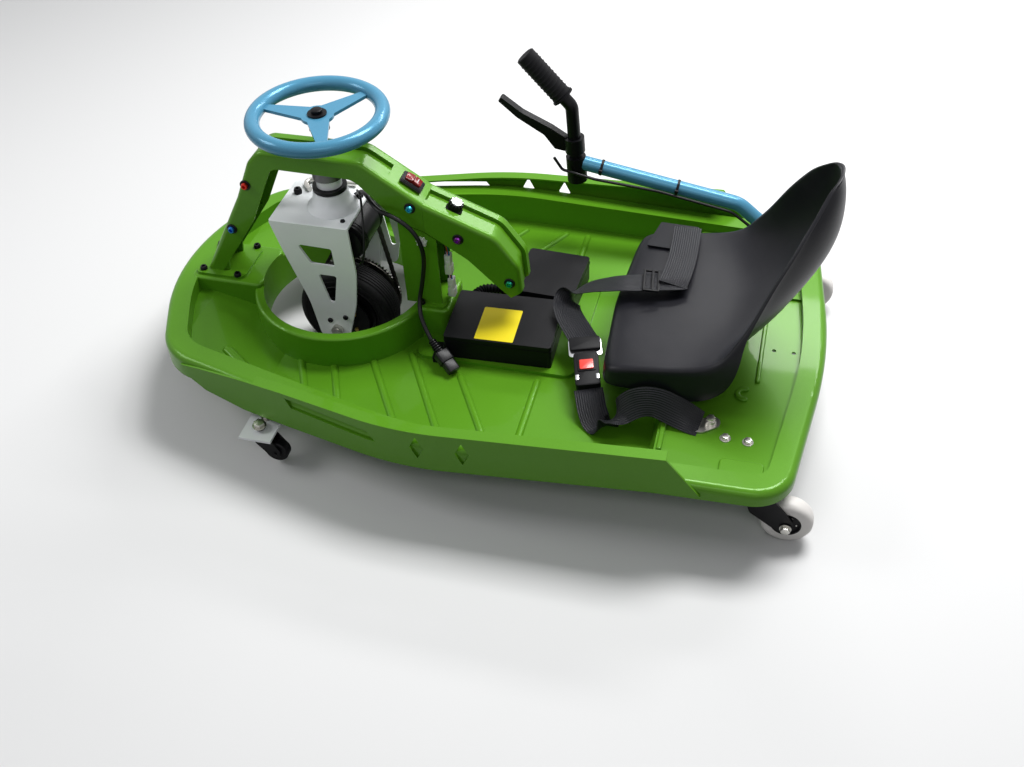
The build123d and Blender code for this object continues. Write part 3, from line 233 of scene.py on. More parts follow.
NODE_LOOK = {
    "floor_pan": "green", "side_panel_left": "green", "side_panel_right": "green",
    "front_bridge": "green", "bridge_arm": "green", "bridge_mid_leg": "green",
    "bridge_foot": "green", "steering_bearing": "alloy", "switch_bezel": "plastic",
    "rocker_switch": "dark_red", "power_knob": "plastic", "controller_box": "plastic",
    "battery_box": "plastic", "conduit": "plastic", "wire_connectors": "nylon", "seat": "seat",
    "seat_mount": "black_steel", "belt_strap_left": "webbing", "belt_strap_right": "webbing",
    "belt_buckle": "plastic", "belt_tongue": "chrome", "belt_flap": "webbing",
    "belt_anchors": "zinc", "motor_cable": "cable", "cable_plug": "cable",
    "drift_axle_brackets": "black_steel", "front_caster_bracket_left": "white",
    "front_caster_bracket_right": "white", "steering_wheel": "blue", "steering_stem": "plastic",
    "wheel_fork": "white", "chain_guard": "white", "fork_rod": "zinc", "drive_motor": "black_steel",
    "drive_chain": "chain", "drive_axle": "zinc", "drive_tyre": "rubber", "drive_rim": "black_steel",
    "drive_sprocket": "zinc", "drift_axle": "black_steel", "drift_bar": "blue",
    "bar_stem": "black_steel", "bar_grip": "grip", "brake_lever": "black_steel",
    "brake_cable": "cable", "rear_caster_fork_left": "black_steel",
    "rear_caster_fork_right": "black_steel", "rear_caster_wheel_left": "cream",
    "rear_caster_wheel_right": "cream", "front_caster_fork_left": "black_steel",
    "front_caster_fork_right": "black_steel", "front_caster_wheel_left": "plastic",
    "front_caster_wheel_right": "plastic",
}
for node, look in NODE_LOOK.items():
    slots = nodes[node].data.materials
    slots.clear()
    slots.append(MAT[look])


# mesh helpers
def piece(name, mesh, look, body, smooth=True):
    """Object from a mesh, with its finish, on its body."""
    obj = bpy.data.objects.new(name, mesh)
    bpy.context.scene.collection.objects.link(obj)
    mesh.materials.append(MAT[look])
    if smooth:
        mesh.polygons.foreach_set("use_smooth", [True] * len(mesh.polygons))
        mesh.set_sharp_from_angle(angle=math.radians(38))
    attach(obj, body)
    return obj


def mesh_from(name, build):
    """Mesh filled by a function that gets a bmesh."""
    bm = bmesh.new()
    build(bm)
    bmesh.ops.recalc_face_normals(bm, faces=bm.faces[:])
    mesh = bpy.data.meshes.new(name)
    bm.to_mesh(mesh)
    bm.free()
    return mesh


def made(name, build, look, body, node=None, smooth=True):
    """Piece from a function that fills a bmesh; it stands for a CAD node where one is given."""
    obj = piece(name, mesh_from(name, build), look, body, smooth)
    if node:
        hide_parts(node)
    return obj


def basis(at, axis, toward=None):
    """Matrix at a point with Z along an axis and X as near a direction as can be."""
    z = Vector(axis).normalized()
    x = Vector(toward) if toward is not None else (Vector((1, 0, 0)) if abs(z.x) < 0.9 else Vector((0, 1, 0)))
    x = (x - z * x.dot(z)).normalized()
    y = z.cross(x)
    m = Matrix((x, y, z)).transposed().to_4x4()
    m.translation = Vector(at)
    return m


def lathe(bm, profile, matrix, steps=24, closed=False):
    """Turn an (r, h) profile about the matrix's Z; ends on the axis close by themselves."""
    rings = []
    for r, h in profile:
        if r < 1e-7:
            rings.append([bm.verts.new(matrix @ Vector((0, 0, h)))])
        else:
            rings.append(
                [
                    bm.verts.new(
                        matrix @ Vector((r * math.cos(a), r * math.sin(a), h))
                    )
                    for a in (2 * math.pi * k / steps for k in range(steps))
                ]
            )
    pairs = list(zip(rings, rings[1:]))
    if closed:
        pairs.append((rings[-1], rings[0]))
    for low, high in pairs:
        for k in range(steps):
            a, b = low[k % len(low)], low[(k + 1) % len(low)]
            c, d = high[(k + 1) % len(high)], high[k % len(high)]
            corners = []
            for v in (a, b, c, d):
                if v not in corners:
                    corners.append(v)
            if len(corners) > 2:
                bm.faces.new(corners)


def prism(bm, outline, low, high, matrix, bevel=0.0):
    """Straight prism of an (x, y) outline between two heights, with a small edge bevel."""
    bottom = [bm.verts.new(matrix @ Vector((x, y, low))) for x, y in outline]
    top = [bm.verts.new(matrix @ Vector((x, y, high))) for x, y in outline]
    count = len(outline)
    faces = [bm.faces.new(bottom[::-1]), bm.faces.new(top)]
    for k in range(count):
        j = (k + 1) % count
        faces.append(bm.faces.new((bottom[k], bottom[j], top[j], top[k])))
    if bevel:
        edges = [e for f in faces[:2] for e in f.edges]
        bmesh.ops.bevel(bm, geom=edges, offset=bevel, segments=2, affect="EDGES", profile=0.6)


def band(bm, inner, outer, low, high, matrix):
    """Flat ring between two outlines with as many points."""
    rows = []
    for z, points in ((low, inner), (low, outer), (high, outer), (high, inner)):
        rows.append([bm.verts.new(matrix @ Vector((x, y, z))) for x, y in points])
    count = len(inner)
    for r0, r1 in zip(rows, rows[1:] + rows[:1]):
        for k in range(count):
            j = (k + 1) % count
            bm.faces.new((r0[k], r0[j], r1[j], r1[k]))


def polar(r, degrees):
    """Point of an outline by radius and angle."""
    return r * math.cos(math.radians(degrees)), r * math.sin(math.radians(degrees))


def rounded_outline(width, length, radius, steps=4):
    """Rounded rectangle as (x, y) points, centred."""
    points = []
    for cx, cy, start in (
        (width / 2 - radius, length / 2 - radius, 0),
        (-width / 2 + radius, length / 2 - radius, 90),
        (-width / 2 + radius, -length / 2 + radius, 180),
        (width / 2 - radius, -length / 2 + radius, 270),
    ):
        for k in range(steps + 1):
            a = math.radians(start + 90 * k / steps)
            points.append((cx + radius * math.cos(a), cy + radius * math.sin(a)))
    return points


def smooth_path(points, steps):
    """Samples of a Catmull-Rom curve through the points, so many to a span."""
    pts = [Vector(p) for p in points]
    ext = [pts[0] * 2 - pts[1]] + pts + [pts[-1] * 2 - pts[-2]]
    out = []
    for i in range(1, len(ext) - 2):
        p0, p1, p2, p3 = ext[i - 1 : i + 3]
        for k in range(steps):
            t = k / steps
            out.append(
                0.5
                * (
                    2 * p1
                    + (p2 - p0) * t
                    + (2 * p0 - 5 * p1 + 4 * p2 - p3) * t * t
                    + (3 * p1 - p0 - 3 * p2 + p3) * t * t * t
                )
            )
    out.append(pts[-1])
    return out


def sweep_tube(bm, path, radius, sides=12):
    """Closed tube round sampled points, with a frame that doesn't twist; the radius may be a function."""
    tangent = (path[1] - path[0]).normalized()
    side = tangent.orthogonal().normalized()
    rings = []
    for i, p in enumerate(path):
        ahead = path[min(i + 1, len(path) - 1)] - path[max(i - 1, 0)]
        ahead.normalize()
        side = (side - ahead * side.dot(ahead)).normalized()
        other = ahead.cross(side)
        r = radius(i / (len(path) - 1)) if callable(radius) else radius
        rings.append(
            [
                bm.verts.new(p + (side * math.cos(a) + other * math.sin(a)) * r)
                for a in (2 * math.pi * k / sides for k in range(sides))
            ]
        )
    for low, high in zip(rings, rings[1:]):
        for k in range(sides):
            j = (k + 1) % sides
            bm.faces.new((low[k], low[j], high[j], high[k]))
    bm.faces.new(rings[0][::-1])
    bm.faces.new(rings[-1])


def strap_mesh(name, stations, width, thick, steps=10):
    """Webbing through (x, y, z, across x, y, z) stations, with a rolled edge and UVs in metres."""
    centre = smooth_path([s[:3] for s in stations], steps)
    across = smooth_path([s[3:] for s in stations], steps)
    bm = bmesh.new()
    uv = bm.loops.layers.uv.new("UVMap")
    section = []
    cols = 6
    for k in range(cols + 1):
        t = -1 + 2 * k / cols
        section.append((t * width / 2, thick / 2 * (1 - 0.5 * abs(t) ** 6)))
    loop = section + [(a, -b) for a, b in section[::-1]]
    rings = []
    run = 0.0
    lengths = []
    for i, p in enumerate(centre):
        if i:
            run += (p - centre[i - 1]).length
        lengths.append(run)
        t = (centre[min(i + 1, len(centre) - 1)] - centre[max(i - 1, 0)]).normalized()
        a = across[i] - t * across[i].dot(t)
        a.normalize()
        n = t.cross(a)
        rings.append([bm.verts.new(p + a * u + n * v) for u, v in loop])
    count = len(loop)
    for i in range(len(rings) - 1):
        for k in range(count):
            j = (k + 1) % count
            face = bm.faces.new((rings[i][k], rings[i][j], rings[i + 1][j], rings[i + 1][k]))
            coords = (
                (lengths[i], loop[k][0]),
                (lengths[i], loop[j][0]),
                (lengths[i + 1], loop[j][0]),
                (lengths[i + 1], loop[k][0]),
            )
            for lp, c in zip(face.loops, coords):
                lp[uv].uv = c
    bm.faces.new(rings[0][::-1])
    bm.faces.new(rings[-1])
    bmesh.ops.recalc_face_normals(bm, faces=bm.faces[:])
    mesh = bpy.data.meshes.new(name)
    bm.to_mesh(mesh)
    bm.free()
    return mesh


# camera, lights, floor
CAMERA_AT = (-0.4239, 1.3521, 1.2940)
YAW, PITCH, ROLL = 0.2898, 0.7574, -0.0543
FOCAL_PX = 1132.3
IMAGE_W = 1024


def build_camera():
    """Camera at the photograph's angle and lens."""
    forward = Vector(
        (math.sin(YAW) * math.cos(PITCH), -math.cos(YAW) * math.cos(PITCH), -math.sin(PITCH))
    )
    flat = forward.cross(Vector((0, 0, 1))).normalized()
    lift = flat.cross(forward)
    right = math.cos(ROLL) * flat + math.sin(ROLL) * lift
    up = -math.sin(ROLL) * flat + math.cos(ROLL) * lift
    data = bpy.data.cameras.new("camera")
    data.sensor_width = 36.0
    data.lens = FOCAL_PX / IMAGE_W * 36.0
    data.clip_end = 60
    camera = bpy.data.objects.new("camera", data)
    bpy.context.scene.collection.objects.link(camera)
    m = Matrix((right, up, -forward)).transposed().to_4x4()
    m.translation = Vector(CAMERA_AT)
    camera.matrix_world = m
    bpy.context.scene.camera = camera


def softbox(name, at, target, size, watts):
    """Rectangular area light aimed at a point."""
    data = bpy.data.lights.new(name, "AREA")
    data.shape = "RECTANGLE"
    data.size, data.size_y = size
    data.energy = watts
    lamp = bpy.data.objects.new(name, data)
    bpy.context.scene.collection.objects.link(lamp)
    lamp.matrix_world = basis(at, Vector(at) - Vector(target))
    return lamp


def seen_rays(tree):
    """1 for camera, glossy and transmission rays and 0 for the rest."""
    path = tree.nodes.new("ShaderNodeLightPath")
    total = path.outputs["Is Camera Ray"]
    for other in ("Is Glossy Ray", "Is Transmission Ray"):
        join = tree.nodes.new("ShaderNodeMath")
        join.operation = "MAXIMUM"
        tree.links.new(total, join.inputs[0])
        tree.links.new(path.outputs[other], join.inputs[1])
        total = join.outputs[0]
    return total


# lamps: name, place, aim, size, watts
LAMPS = [
    ("key", (-0.7, -0.9, 2.5), (0, 0, 0.1), (1.3, 0.8), 80),
    ("strip_far", (-0.7, -1.9, 1.7), (-0.2, 0, 0.1), (1.6, 0.25), 24),
    ("front", (2.0, 0.5, 1.7), (0, 0, 0.1), (0.8, 0.8), 15),
    ("near", (-0.6, 1.9, 2.2), (0, 0, 0.1), (1.4, 0.5), 7),
]
FLOOR_SEEN = 0.72
FLOOR_BOUNCE = 0.3


def build_world():
    """White to the eye and in reflections, a dim even light otherwise."""
    world = bpy.data.worlds.new("studio")
    bpy.context.scene.world = world
    world.use_nodes = True
    tree = world.node_tree
    tree.nodes.clear()
    out = tree.nodes.new("ShaderNodeOutputWorld")
    mix = tree.nodes.new("ShaderNodeMixShader")
    dim = tree.nodes.new("ShaderNodeBackground")
    dim.inputs["Color"].default_value = (0.94, 0.97, 1.0, 1)
    dim.inputs["Strength"].default_value = 0.2
    white = tree.nodes.new("ShaderNodeBackground")
    white.inputs["Color"].default_value = (1, 1, 1, 1)
    white.inputs["Strength"].default_value = 1.0
    tree.links.new(seen_rays(tree), mix.inputs["Fac"])
    tree.links.new(dim.outputs[0], mix.inputs[1])
    tree.links.new(white.outputs[0], mix.inputs[2])
    tree.links.new(mix.outputs[0], out.inputs["Surface"])


def build_floor():
    """Pale floor that keeps the shadow and throws less light back than the eye sees."""
    mat = bpy.data.materials.new("floor")
    mat.use_nodes = True
    tree = mat.node_tree
    shader = tree.nodes["Principled BSDF"]
    tint = ramp(tree, seen_rays(tree), [(0.0, (FLOOR_BOUNCE,) * 3), (1.0, (FLOOR_SEEN,) * 3)])
    tree.links.new(tint.outputs["Color"], shader.inputs["Base Color"])
    shader.inputs["Roughness"].default_value = 0.9
    shader.inputs["Specular IOR Level"].default_value = 0.05
    mesh = mesh_from("floor", lambda bm: bmesh.ops.create_grid(bm, x_segments=1, y_segments=1, size=14))
    mesh.materials.append(mat)
    floor = bpy.data.objects.new("floor", mesh)
    bpy.context.scene.collection.objects.link(floor)
    floor.location = (0, 0, -0.0005)


bpy.context.scene.view_settings.view_transform = "Standard"
build_camera()
build_world()
for lamp in LAMPS:
    softbox(*lamp)
build_floor()


# fasteners
def screw(name, at, axis, look, body, head_r=0.0065, head_h=0.005, washer=None):
    """Round-head socket screw standing on a face, with an optional (radius, height, look) washer."""
    m = basis(at, axis)
    h0 = washer[1] if washer else 0.0
    h1 = h0 + head_h
    profile = [
        (0, h0), (head_r, h0), (head_r, h0 + head_h * 0.55), (head_r * 0.8, h1),
        (head_r * 0.46, h1), (head_r * 0.42, h1 - head_h * 0.6), (0, h1 - head_h * 0.62),
    ]
    made(name, lambda bm: lathe(bm, profile, m, 20), look, body)
    if washer:
        r, h, wash_look = washer
        ring = [(0, 0), (r, 0), (r, h * 0.7), (r - h * 0.3, h), (0, h)]
        made(name + "_washer", lambda bm: lathe(bm, ring, m, 24), wash_look, body)


def hex_bolt(name, at, axis, look, body, across=0.011, high=0.006, washer_r=0.009):
    """Hexagon head on a washer."""
    m = basis(at, axis)

    def make(bm):
        lathe(bm, [(0, 0), (washer_r, 0), (washer_r, 0.0012), (0, 0.0012)], m, 24)
        corner = across / 2 / math.cos(math.pi / 6)
        prism(bm, [polar(corner, 60 * k) for k in range(6)], 0.0012, high, m, 0.0006)

    made(name, make, look, body)


def side_name(side):
    """The rider's side that a sign of Y stands for."""
    return "left" if side > 0 else "right"


# side bolts of the bridge: (x, z, finish)
BRIDGE_BOLTS = [
    (0.382, 0.331, "anod_red"),
    (0.424, 0.243, "anod_blue"),
    (0.115, 0.324, "anod_cyan"),
    (0.043, 0.277, "anod_purple"),
    (-0.035, 0.205, "anod_green"),
]
for i, (x, z, look) in enumerate(BRIDGE_BOLTS):
    for side in (1, -1):
        screw(
            f"bridge_bolt_{i}_{side_name(side)}",
            (x, side * BRIDGE_HALF, z), (0, side, 0), look, "chassis", 0.0058, 0.0045,
            washer=(0.0088, 0.0018, "black_steel"),
        )

# foot bolts: (x, y, z)
for i, (x, y, z) in enumerate(
    [(0.430, 0.040, 0.154), (0.430, -0.040, 0.154), (0.494, 0.034, 0.154), (0.494, -0.034, 0.154),
     (0.112, 0.036, 0.1453), (0.112, -0.036, 0.1453)]
):
    screw(f"foot_bolt_{i}", (x, y, z), (0, 0, 1), "black_steel", "chassis", 0.006, 0.006)

# deck screws and anchor bolts
for i, (x, y) in enumerate([(-0.394, 0.207), (-0.426, 0.208), (-0.394, -0.207)]):
    hex_bolt(f"deck_bolt_{i}", (x, y, 0.118), (0, 0, 1), "zinc", "chassis", 0.010, 0.006, 0.008)
for side in (1, -1):
    hex_bolt(f"anchor_bolt_{side_name(side)}", (-0.370, side * 0.183, 0.1268), (0, 0, 1), "zinc", "chassis",
             0.011, 0.006, 0.008)

# fork plate bolts and top plate screws
for i, (x, z) in enumerate([(0.266, 0.103), (0.238, 0.113)]):
    for side in (1, -1):
        screw(f"fork_bolt_{i}_{side_name(side)}", (x, side * 0.060, z), (0, side, 0), "black_steel", "steering",
              0.0045, 0.003)
screw("top_screw_a", (0.322, -0.020, 0.291), (0, 0, 1), "black_steel", "steering", 0.0065, 0.009)
screw("top_screw_b", (0.224, 0.040, 0.291), (0, 0, 1), "black_steel", "steering", 0.004, 0.0025)


# drive
def tyre():
    """Road tyre with a rounded crown and fine circumferential grooves."""
    half, inner = 0.025, 0.0523
    grooves = [-0.0155, -0.0105, -0.0052, 0.0, 0.0052, 0.0105, 0.0155]
    crown = []
    steps = 64
    for k in range(steps + 1):
        y = -0.0205 + 0.041 * k / steps
        r = TYRE_R - 0.0004 - 0.0045 * (abs(y) / 0.0205) ** 2.4
        near = min(abs(y - g) for g in grooves)
        r -= 0.0022 * max(0.0, 1 - (near / 0.0011) ** 2) if near < 0.0011 else 0
        crown.append((r, y))
    left = [(inner, -half + 0.006), (inner + 0.005, -half + 0.0025), (0.066, -half + 0.0004), (0.073, -half + 0.0006),
            (0.0775, -half + 0.0022)]
    right = [(r, -y) for r, y in left[::-1]]
    profile = left + crown + right + [(inner, 0)]
    m = basis((STEER_X, 0, TYRE_R), (0, 1, 0))
    made("tyre_tread", lambda bm: lathe(bm, profile, m, 88, closed=True), "rubber", "drive_wheel", "drive_tyre")

    def ribs(bm):
        """Moulded ribs on the sidewalls."""
        for side in (1, -1):
            for r in (0.0595, 0.0705):
                rib = [(r - 0.0008, side * 0.0238), (r, side * 0.0252), (r + 0.0008, side * 0.0238)]
                lathe(bm, rib, m, 72, closed=True)

    made("tyre_ribs", ribs, "rubber", "drive_wheel")


def chain_points():
    """Even points on the chain's centre line round pinion and sprocket, in (x, z)."""
    pinion, sprocket = Vector(MOTOR), Vector((STEER_X, TYRE_R))
    gap = sprocket - pinion
    u = gap / gap.length
    n = Vector((-u.y, u.x))
    s = (SPROCKET_R - PINION_R) / gap.length
    c = math.sqrt(1 - s * s)
    left, right = n * c - u * s, -n * c - u * s
    samples = []

    def line(start, end):
        samples.extend(start.lerp(end, k / 60) for k in range(60))

    def arc(centre, r, out_from, out_to):
        start = math.atan2(out_from.y, out_from.x)
        end = math.atan2(out_to.y, out_to.x)
        while end > start:
            end -= 2 * math.pi
        for k in range(160):
            t = start + (end - start) * k / 160
            samples.append(centre + Vector((math.cos(t), math.sin(t))) * r)

    line(pinion + left * PINION_R, sprocket + left * SPROCKET_R)
    arc(sprocket, SPROCKET_R, left, right)
    line(sprocket + right * SPROCKET_R, pinion + right * PINION_R)
    arc(pinion, PINION_R, right, left)
    total = 0
    lengths = [0]
    for p, q in zip(samples, samples[1:] + samples[:1]):
        total += (q - p).length
        lengths.append(total)
    count = int(round(total / CHAIN_PITCH / 2)) * 2
    points = []
    j = 0
    for k in range(count):
        want = total * k / count
        while lengths[j + 1] < want:
            j += 1
        t = (want - lengths[j]) / (lengths[j + 1] - lengths[j])
        points.append(samples[j].lerp(samples[(j + 1) % len(samples)], t))
    return points


def chain():
    """Roller chain: rollers with inner and outer plates by turns."""
    points = chain_points()

    def make(bm):
        for k, p in enumerate(points):
            q = points[(k + 1) % len(points)]
            m = basis((p.x, CHAIN_Y, p.y), (0, 1, 0), (q.x - p.x, 0, q.y - p.y))
            lathe(bm, [(0, -0.0033), (0.0015, -0.0033), (0.0015, 0.0033), (0, 0.0033)], m, 7)
            at = 0.0019 if k % 2 else 0.0027
            outline = []
            for cx, start in (((q - p).length, -90), (0, 90)):
                for i in range(5):
                    x, y = polar(0.0027, start + 45 * i)
                    outline.append((cx + x, y))
            for y in (at, -at):
                prism(bm, outline, y - 0.00035, y + 0.00035, m)

    made("roller_chain", make, "chain", "steering", "drive_chain")


def sprocket_teeth():
    """Tooth ring of the big sprocket."""
    count = 70
    inner, outer = [], []
    for k in range(count):
        for share, r in ((0.0, 0.0688), (0.3, 0.0722), (0.5, 0.0738), (0.7, 0.0722)):
            degrees = 360 * (k + share) / count
            outer.append(polar(r, degrees))
            inner.append(polar(0.064, degrees))
    m = basis((STEER_X, CHAIN_Y, TYRE_R), (0, 1, 0))
    made("sprocket_teeth", lambda bm: band(bm, inner, outer, -0.0009, 0.0009, m), "zinc", "drive_wheel")


def column():
    """Turned stem with its washer and nut, and the white dome and dark ring round the fork's boss."""
    m = basis((STEER_X, 0, 0), (0, 0, 1))
    stem = [(0, 0.288), (0.010, 0.288), (0.010, 0.4255), (0.0155, 0.4262), (0.0155, 0.4452), (0.0100, 0.4452),
            (0.0100, 0.4510), (0.0145, 0.4510), (0.0145, 0.4530), (0.0085, 0.4532), (0.0085, 0.4580),
            (0.0070, 0.4590), (0, 0.4590)]
    made("stem_turned", lambda bm: lathe(bm, stem, m, 32), "plastic", "steering", "steering_stem")
    dome = [(0.0405, 0.2912), (0.0400, 0.2935), (0.0330, 0.3000), (0.0290, 0.3100), (0.0270, 0.3220), (0.0200, 0.3225),
            (0.0200, 0.2912)]
    made("boss_dome", lambda bm: lathe(bm, dome, m, 48, closed=True), "white", "steering")
    ring = [(0.0201, 0.3226), (0.0262, 0.3226), (0.0270, 0.3236), (0.0270, 0.3290), (0.0262, 0.3300), (0.0201, 0.3300)]
    made("boss_ring", lambda bm: lathe(bm, ring, m, 48, closed=True), "black_steel", "steering")


def motor_trim():
    """Ribs and shaft cap of the motor, and the nut of its cable gland."""
    m = basis((MOTOR[0], 0, MOTOR[1]), (0, 1, 0))

    def ribs(bm):
        for y in (-0.034, -0.028, 0.030, 0.036):
            lathe(bm, [(0.0318, y - 0.0012), (0.0332, y - 0.0006), (0.0332, y + 0.0006), (0.0318, y + 0.0012)],
                  m, 48, closed=True)
        lathe(bm, [(0.0, 0.0472), (0.010, 0.0472), (0.012, 0.0492), (0.0, 0.0495)], m, 24)

    made("motor_ribs", ribs, "black_steel", "steering")
    nut = [polar(0.009, 60 * k) for k in range(6)]
    gland = basis((*GLAND, 0.291), (0, 0, 1))
    made("cable_gland", lambda bm: prism(bm, nut, 0, 0.004, gland, 0.0006), "plastic", "steering")


def disc_bolts():
    """Bolts of the brake disc."""
    m = basis((STEER_X, 0.036, TYRE_R), (0, 1, 0))

    def bolts(bm):
        for k in range(5):
            at = m @ Vector((*polar(0.027, 72 * k), 0))
            lathe(bm, [(0, 0), (0.0035, 0), (0.0035, 0.003), (0, 0.003)], basis(at, (0, 1, 0)), 10)

    made("disc_bolts", bolts, "brass", "drive_wheel")


tyre()
chain()
sprocket_teeth()
column()
motor_trim()
disc_bolts()


# casters
def caster_wheel(side, name):
    """Solid wheel: cream tread on a black centre with rivets and an axle nut."""
    at = Vector(REAR_WHEEL) * Vector((1, side, 1))
    m = basis(at, (0, side, 0))
    half, r = 0.014, 0.0375
    body = f"rear_wheel_{name}"
    tread = [(0.0215, -half + 0.0005), (0.030, -half), (0.0335, -half + 0.0012), (0.0365, -half + 0.005),
             (r, -0.004), (r, 0.004), (0.0365, half - 0.005), (0.0335, half - 0.0012), (0.030, half),
             (0.0215, half - 0.0005)]
    made(f"caster_tread_{name}", lambda bm: lathe(bm, tread, m, 56, closed=True), "cream", body,
         f"rear_caster_wheel_{name}")
    centre = [(0.0042, -half - 0.0005), (0.009, -half - 0.0005), (0.010, -half + 0.002), (0.0185, -half + 0.003),
              (0.0195, -half + 0.0008), (0.0216, -half + 0.0005)]
    centre += [(q, -h) for q, h in centre[::-1]]
    made(f"caster_centre_{name}", lambda bm: lathe(bm, centre, m, 48, closed=True), "plastic", body)

    def rivets(bm):
        for k in range(6):
            for z in (half - 0.0032, -half + 0.0032):
                p = m @ Vector((*polar(0.0145, 60 * k), z))
                lathe(bm, [(0, -0.0004), (0.0016, -0.0004), (0.0012, 0.0014), (0, 0.0016)],
                      basis(p, (0, side if z > 0 else -side, 0)), 8)

    made(f"caster_rivets_{name}", rivets, "zinc", body)
    hex_bolt(f"caster_nut_{name}", at + Vector((0, side * 0.0205, 0)), (0, side, 0), "zinc",
             f"rear_swivel_{name}", 0.012, 0.007, 0.0085)


for side in (1, -1):
    name = side_name(side)
    caster_wheel(side, name)
    hex_bolt(f"bracket_bolt_{name}", (0.300, side * 0.286, 0.073), (0, 0, 1), "zinc",
             f"front_swivel_{name}", 0.015, 0.007, 0.011)
    hex_bolt(f"bracket_screw_{name}", (0.300, side * 0.262, 0.066), (0, 0, 1), "zinc",
             "chassis", 0.010, 0.005, 0.008)


# boxes, switch, knob, wiring
def box_trim():
    """Blank label and lid lines of the two boxes."""
    face = Matrix.Translation((-0.019, 0.050, 0.1341)) @ Matrix.Rotation(math.radians(2), 4, "Z")
    made("controller_label", lambda bm: prism(bm, rounded_outline(0.062, 0.078, 0.002), 0, 0.0004, face), "yellow",
         "chassis", smooth=False)

    def lines(bm):
        for cx, cy, w, d, ang in ((-0.024, 0.033, 0.172, 0.118, 2), (-0.070, -0.096, 0.104, 0.116, -3)):
            m = Matrix.Translation((cx, cy, 0)) @ Matrix.Rotation(math.radians(ang), 4, "Z")
            outer = rounded_outline(w + 0.0014, d + 0.0014, 0.0056)
            inner = rounded_outline(w - 0.001, d - 0.001, 0.0045)
            band(bm, inner, outer, 0.124, 0.1255, m)

    made("lid_lines", lines, "plastic", "chassis")


def conduit():
    """Corrugated tube between the boxes."""
    z = 0.1013
    path = smooth_path([(0.052, -0.036, z), (0.0505, -0.052, z), (0.040, -0.070, z), (0.018, -0.077, z),
                        (-0.004, -0.078, z), (-0.0145, -0.078, z)], 16)

    def wall(t):
        return 0.0078 + 0.0012 * math.sin(t * 2 * math.pi * 20)

    made("corrugated_tube", lambda bm: sweep_tube(bm, path, wall, 18), "plastic", "chassis", "conduit")


def on_slope(start, fall, x, lift):
    """Matrix on a falling (x, z) face at x, raised off it, with X down the slope."""
    down = Vector((fall[0], 0, fall[1])).normalized()
    off = Vector((fall[1], 0, -fall[0])).normalized()
    at = Vector((x, 0, start[1] + (x - start[0]) * fall[1] / fall[0]))
    return basis(at + off * lift, off, down)


def controls():
    """Ridged frame and split rocker of the switch, and the knob's bright cross and skirt."""
    m = on_slope((0.190, 0.394), (-0.094, -0.063), 0.120, 0.0033)

    def frame_ridges(bm):
        for w, l, h in ((0.037, 0.027, 0.0008), (0.0345, 0.0245, 0.0022), (0.032, 0.0215, 0.0034)):
            prism(bm, rounded_outline(w, l, 0.003), -0.0005, h, m, 0.0004)

    made("switch_frame", frame_ridges, "plastic", "chassis", "switch_bezel")

    def half_at(side, z):
        return m @ Matrix.Translation((side * 0.0062, 0, z)) @ Matrix.Rotation(side * 0.17, 4, "Y")

    def rocker(bm):
        for side in (1, -1):
            prism(bm, rounded_outline(0.0128, 0.0150, 0.0015), -0.002, 0.0042, half_at(side, 0.0036), 0.0007)

    made("rocker", rocker, "dark_red", "chassis", "rocker_switch")
    made("rocker_mark", lambda bm: prism(bm, rounded_outline(0.0012, 0.0085, 0.0004), 0, 0.0003, half_at(1, 0.0079)),
         "nylon", "chassis", smooth=False)
    k = on_slope((0.0957, 0.331), (-0.1107, -0.045), 0.054, -0.006)

    def skirt(bm):
        lathe(bm, [(0, 0.0), (0.0132, 0.0), (0.0132, 0.0030), (0.0112, 0.0040), (0.0100, 0.0150), (0, 0.0152)], k, 28)
        for i in range(14):
            turn = k @ Matrix.Rotation(2 * math.pi * i / 14, 4, "Z") @ Matrix.Translation((0.0108, 0, 0))
            prism(bm, rounded_outline(0.0016, 0.0022, 0.0005, 2), 0.0042, 0.0140, turn)

    made("knob", skirt, "plastic", "chassis", "power_knob")

    def cross(bm):
        lathe(bm, [(0, 0.0150), (0.0088, 0.0150), (0.0084, 0.0160), (0, 0.0162)], k, 24)
        for angle in (20, 65, 110, 155):
            turn = k @ Matrix.Rotation(math.radians(angle), 4, "Z")
            prism(bm, rounded_outline(0.0042, 0.0190, 0.0016), 0.0158, 0.0172, turn, 0.0004)

    made("knob_top", cross, "chrome", "chassis")


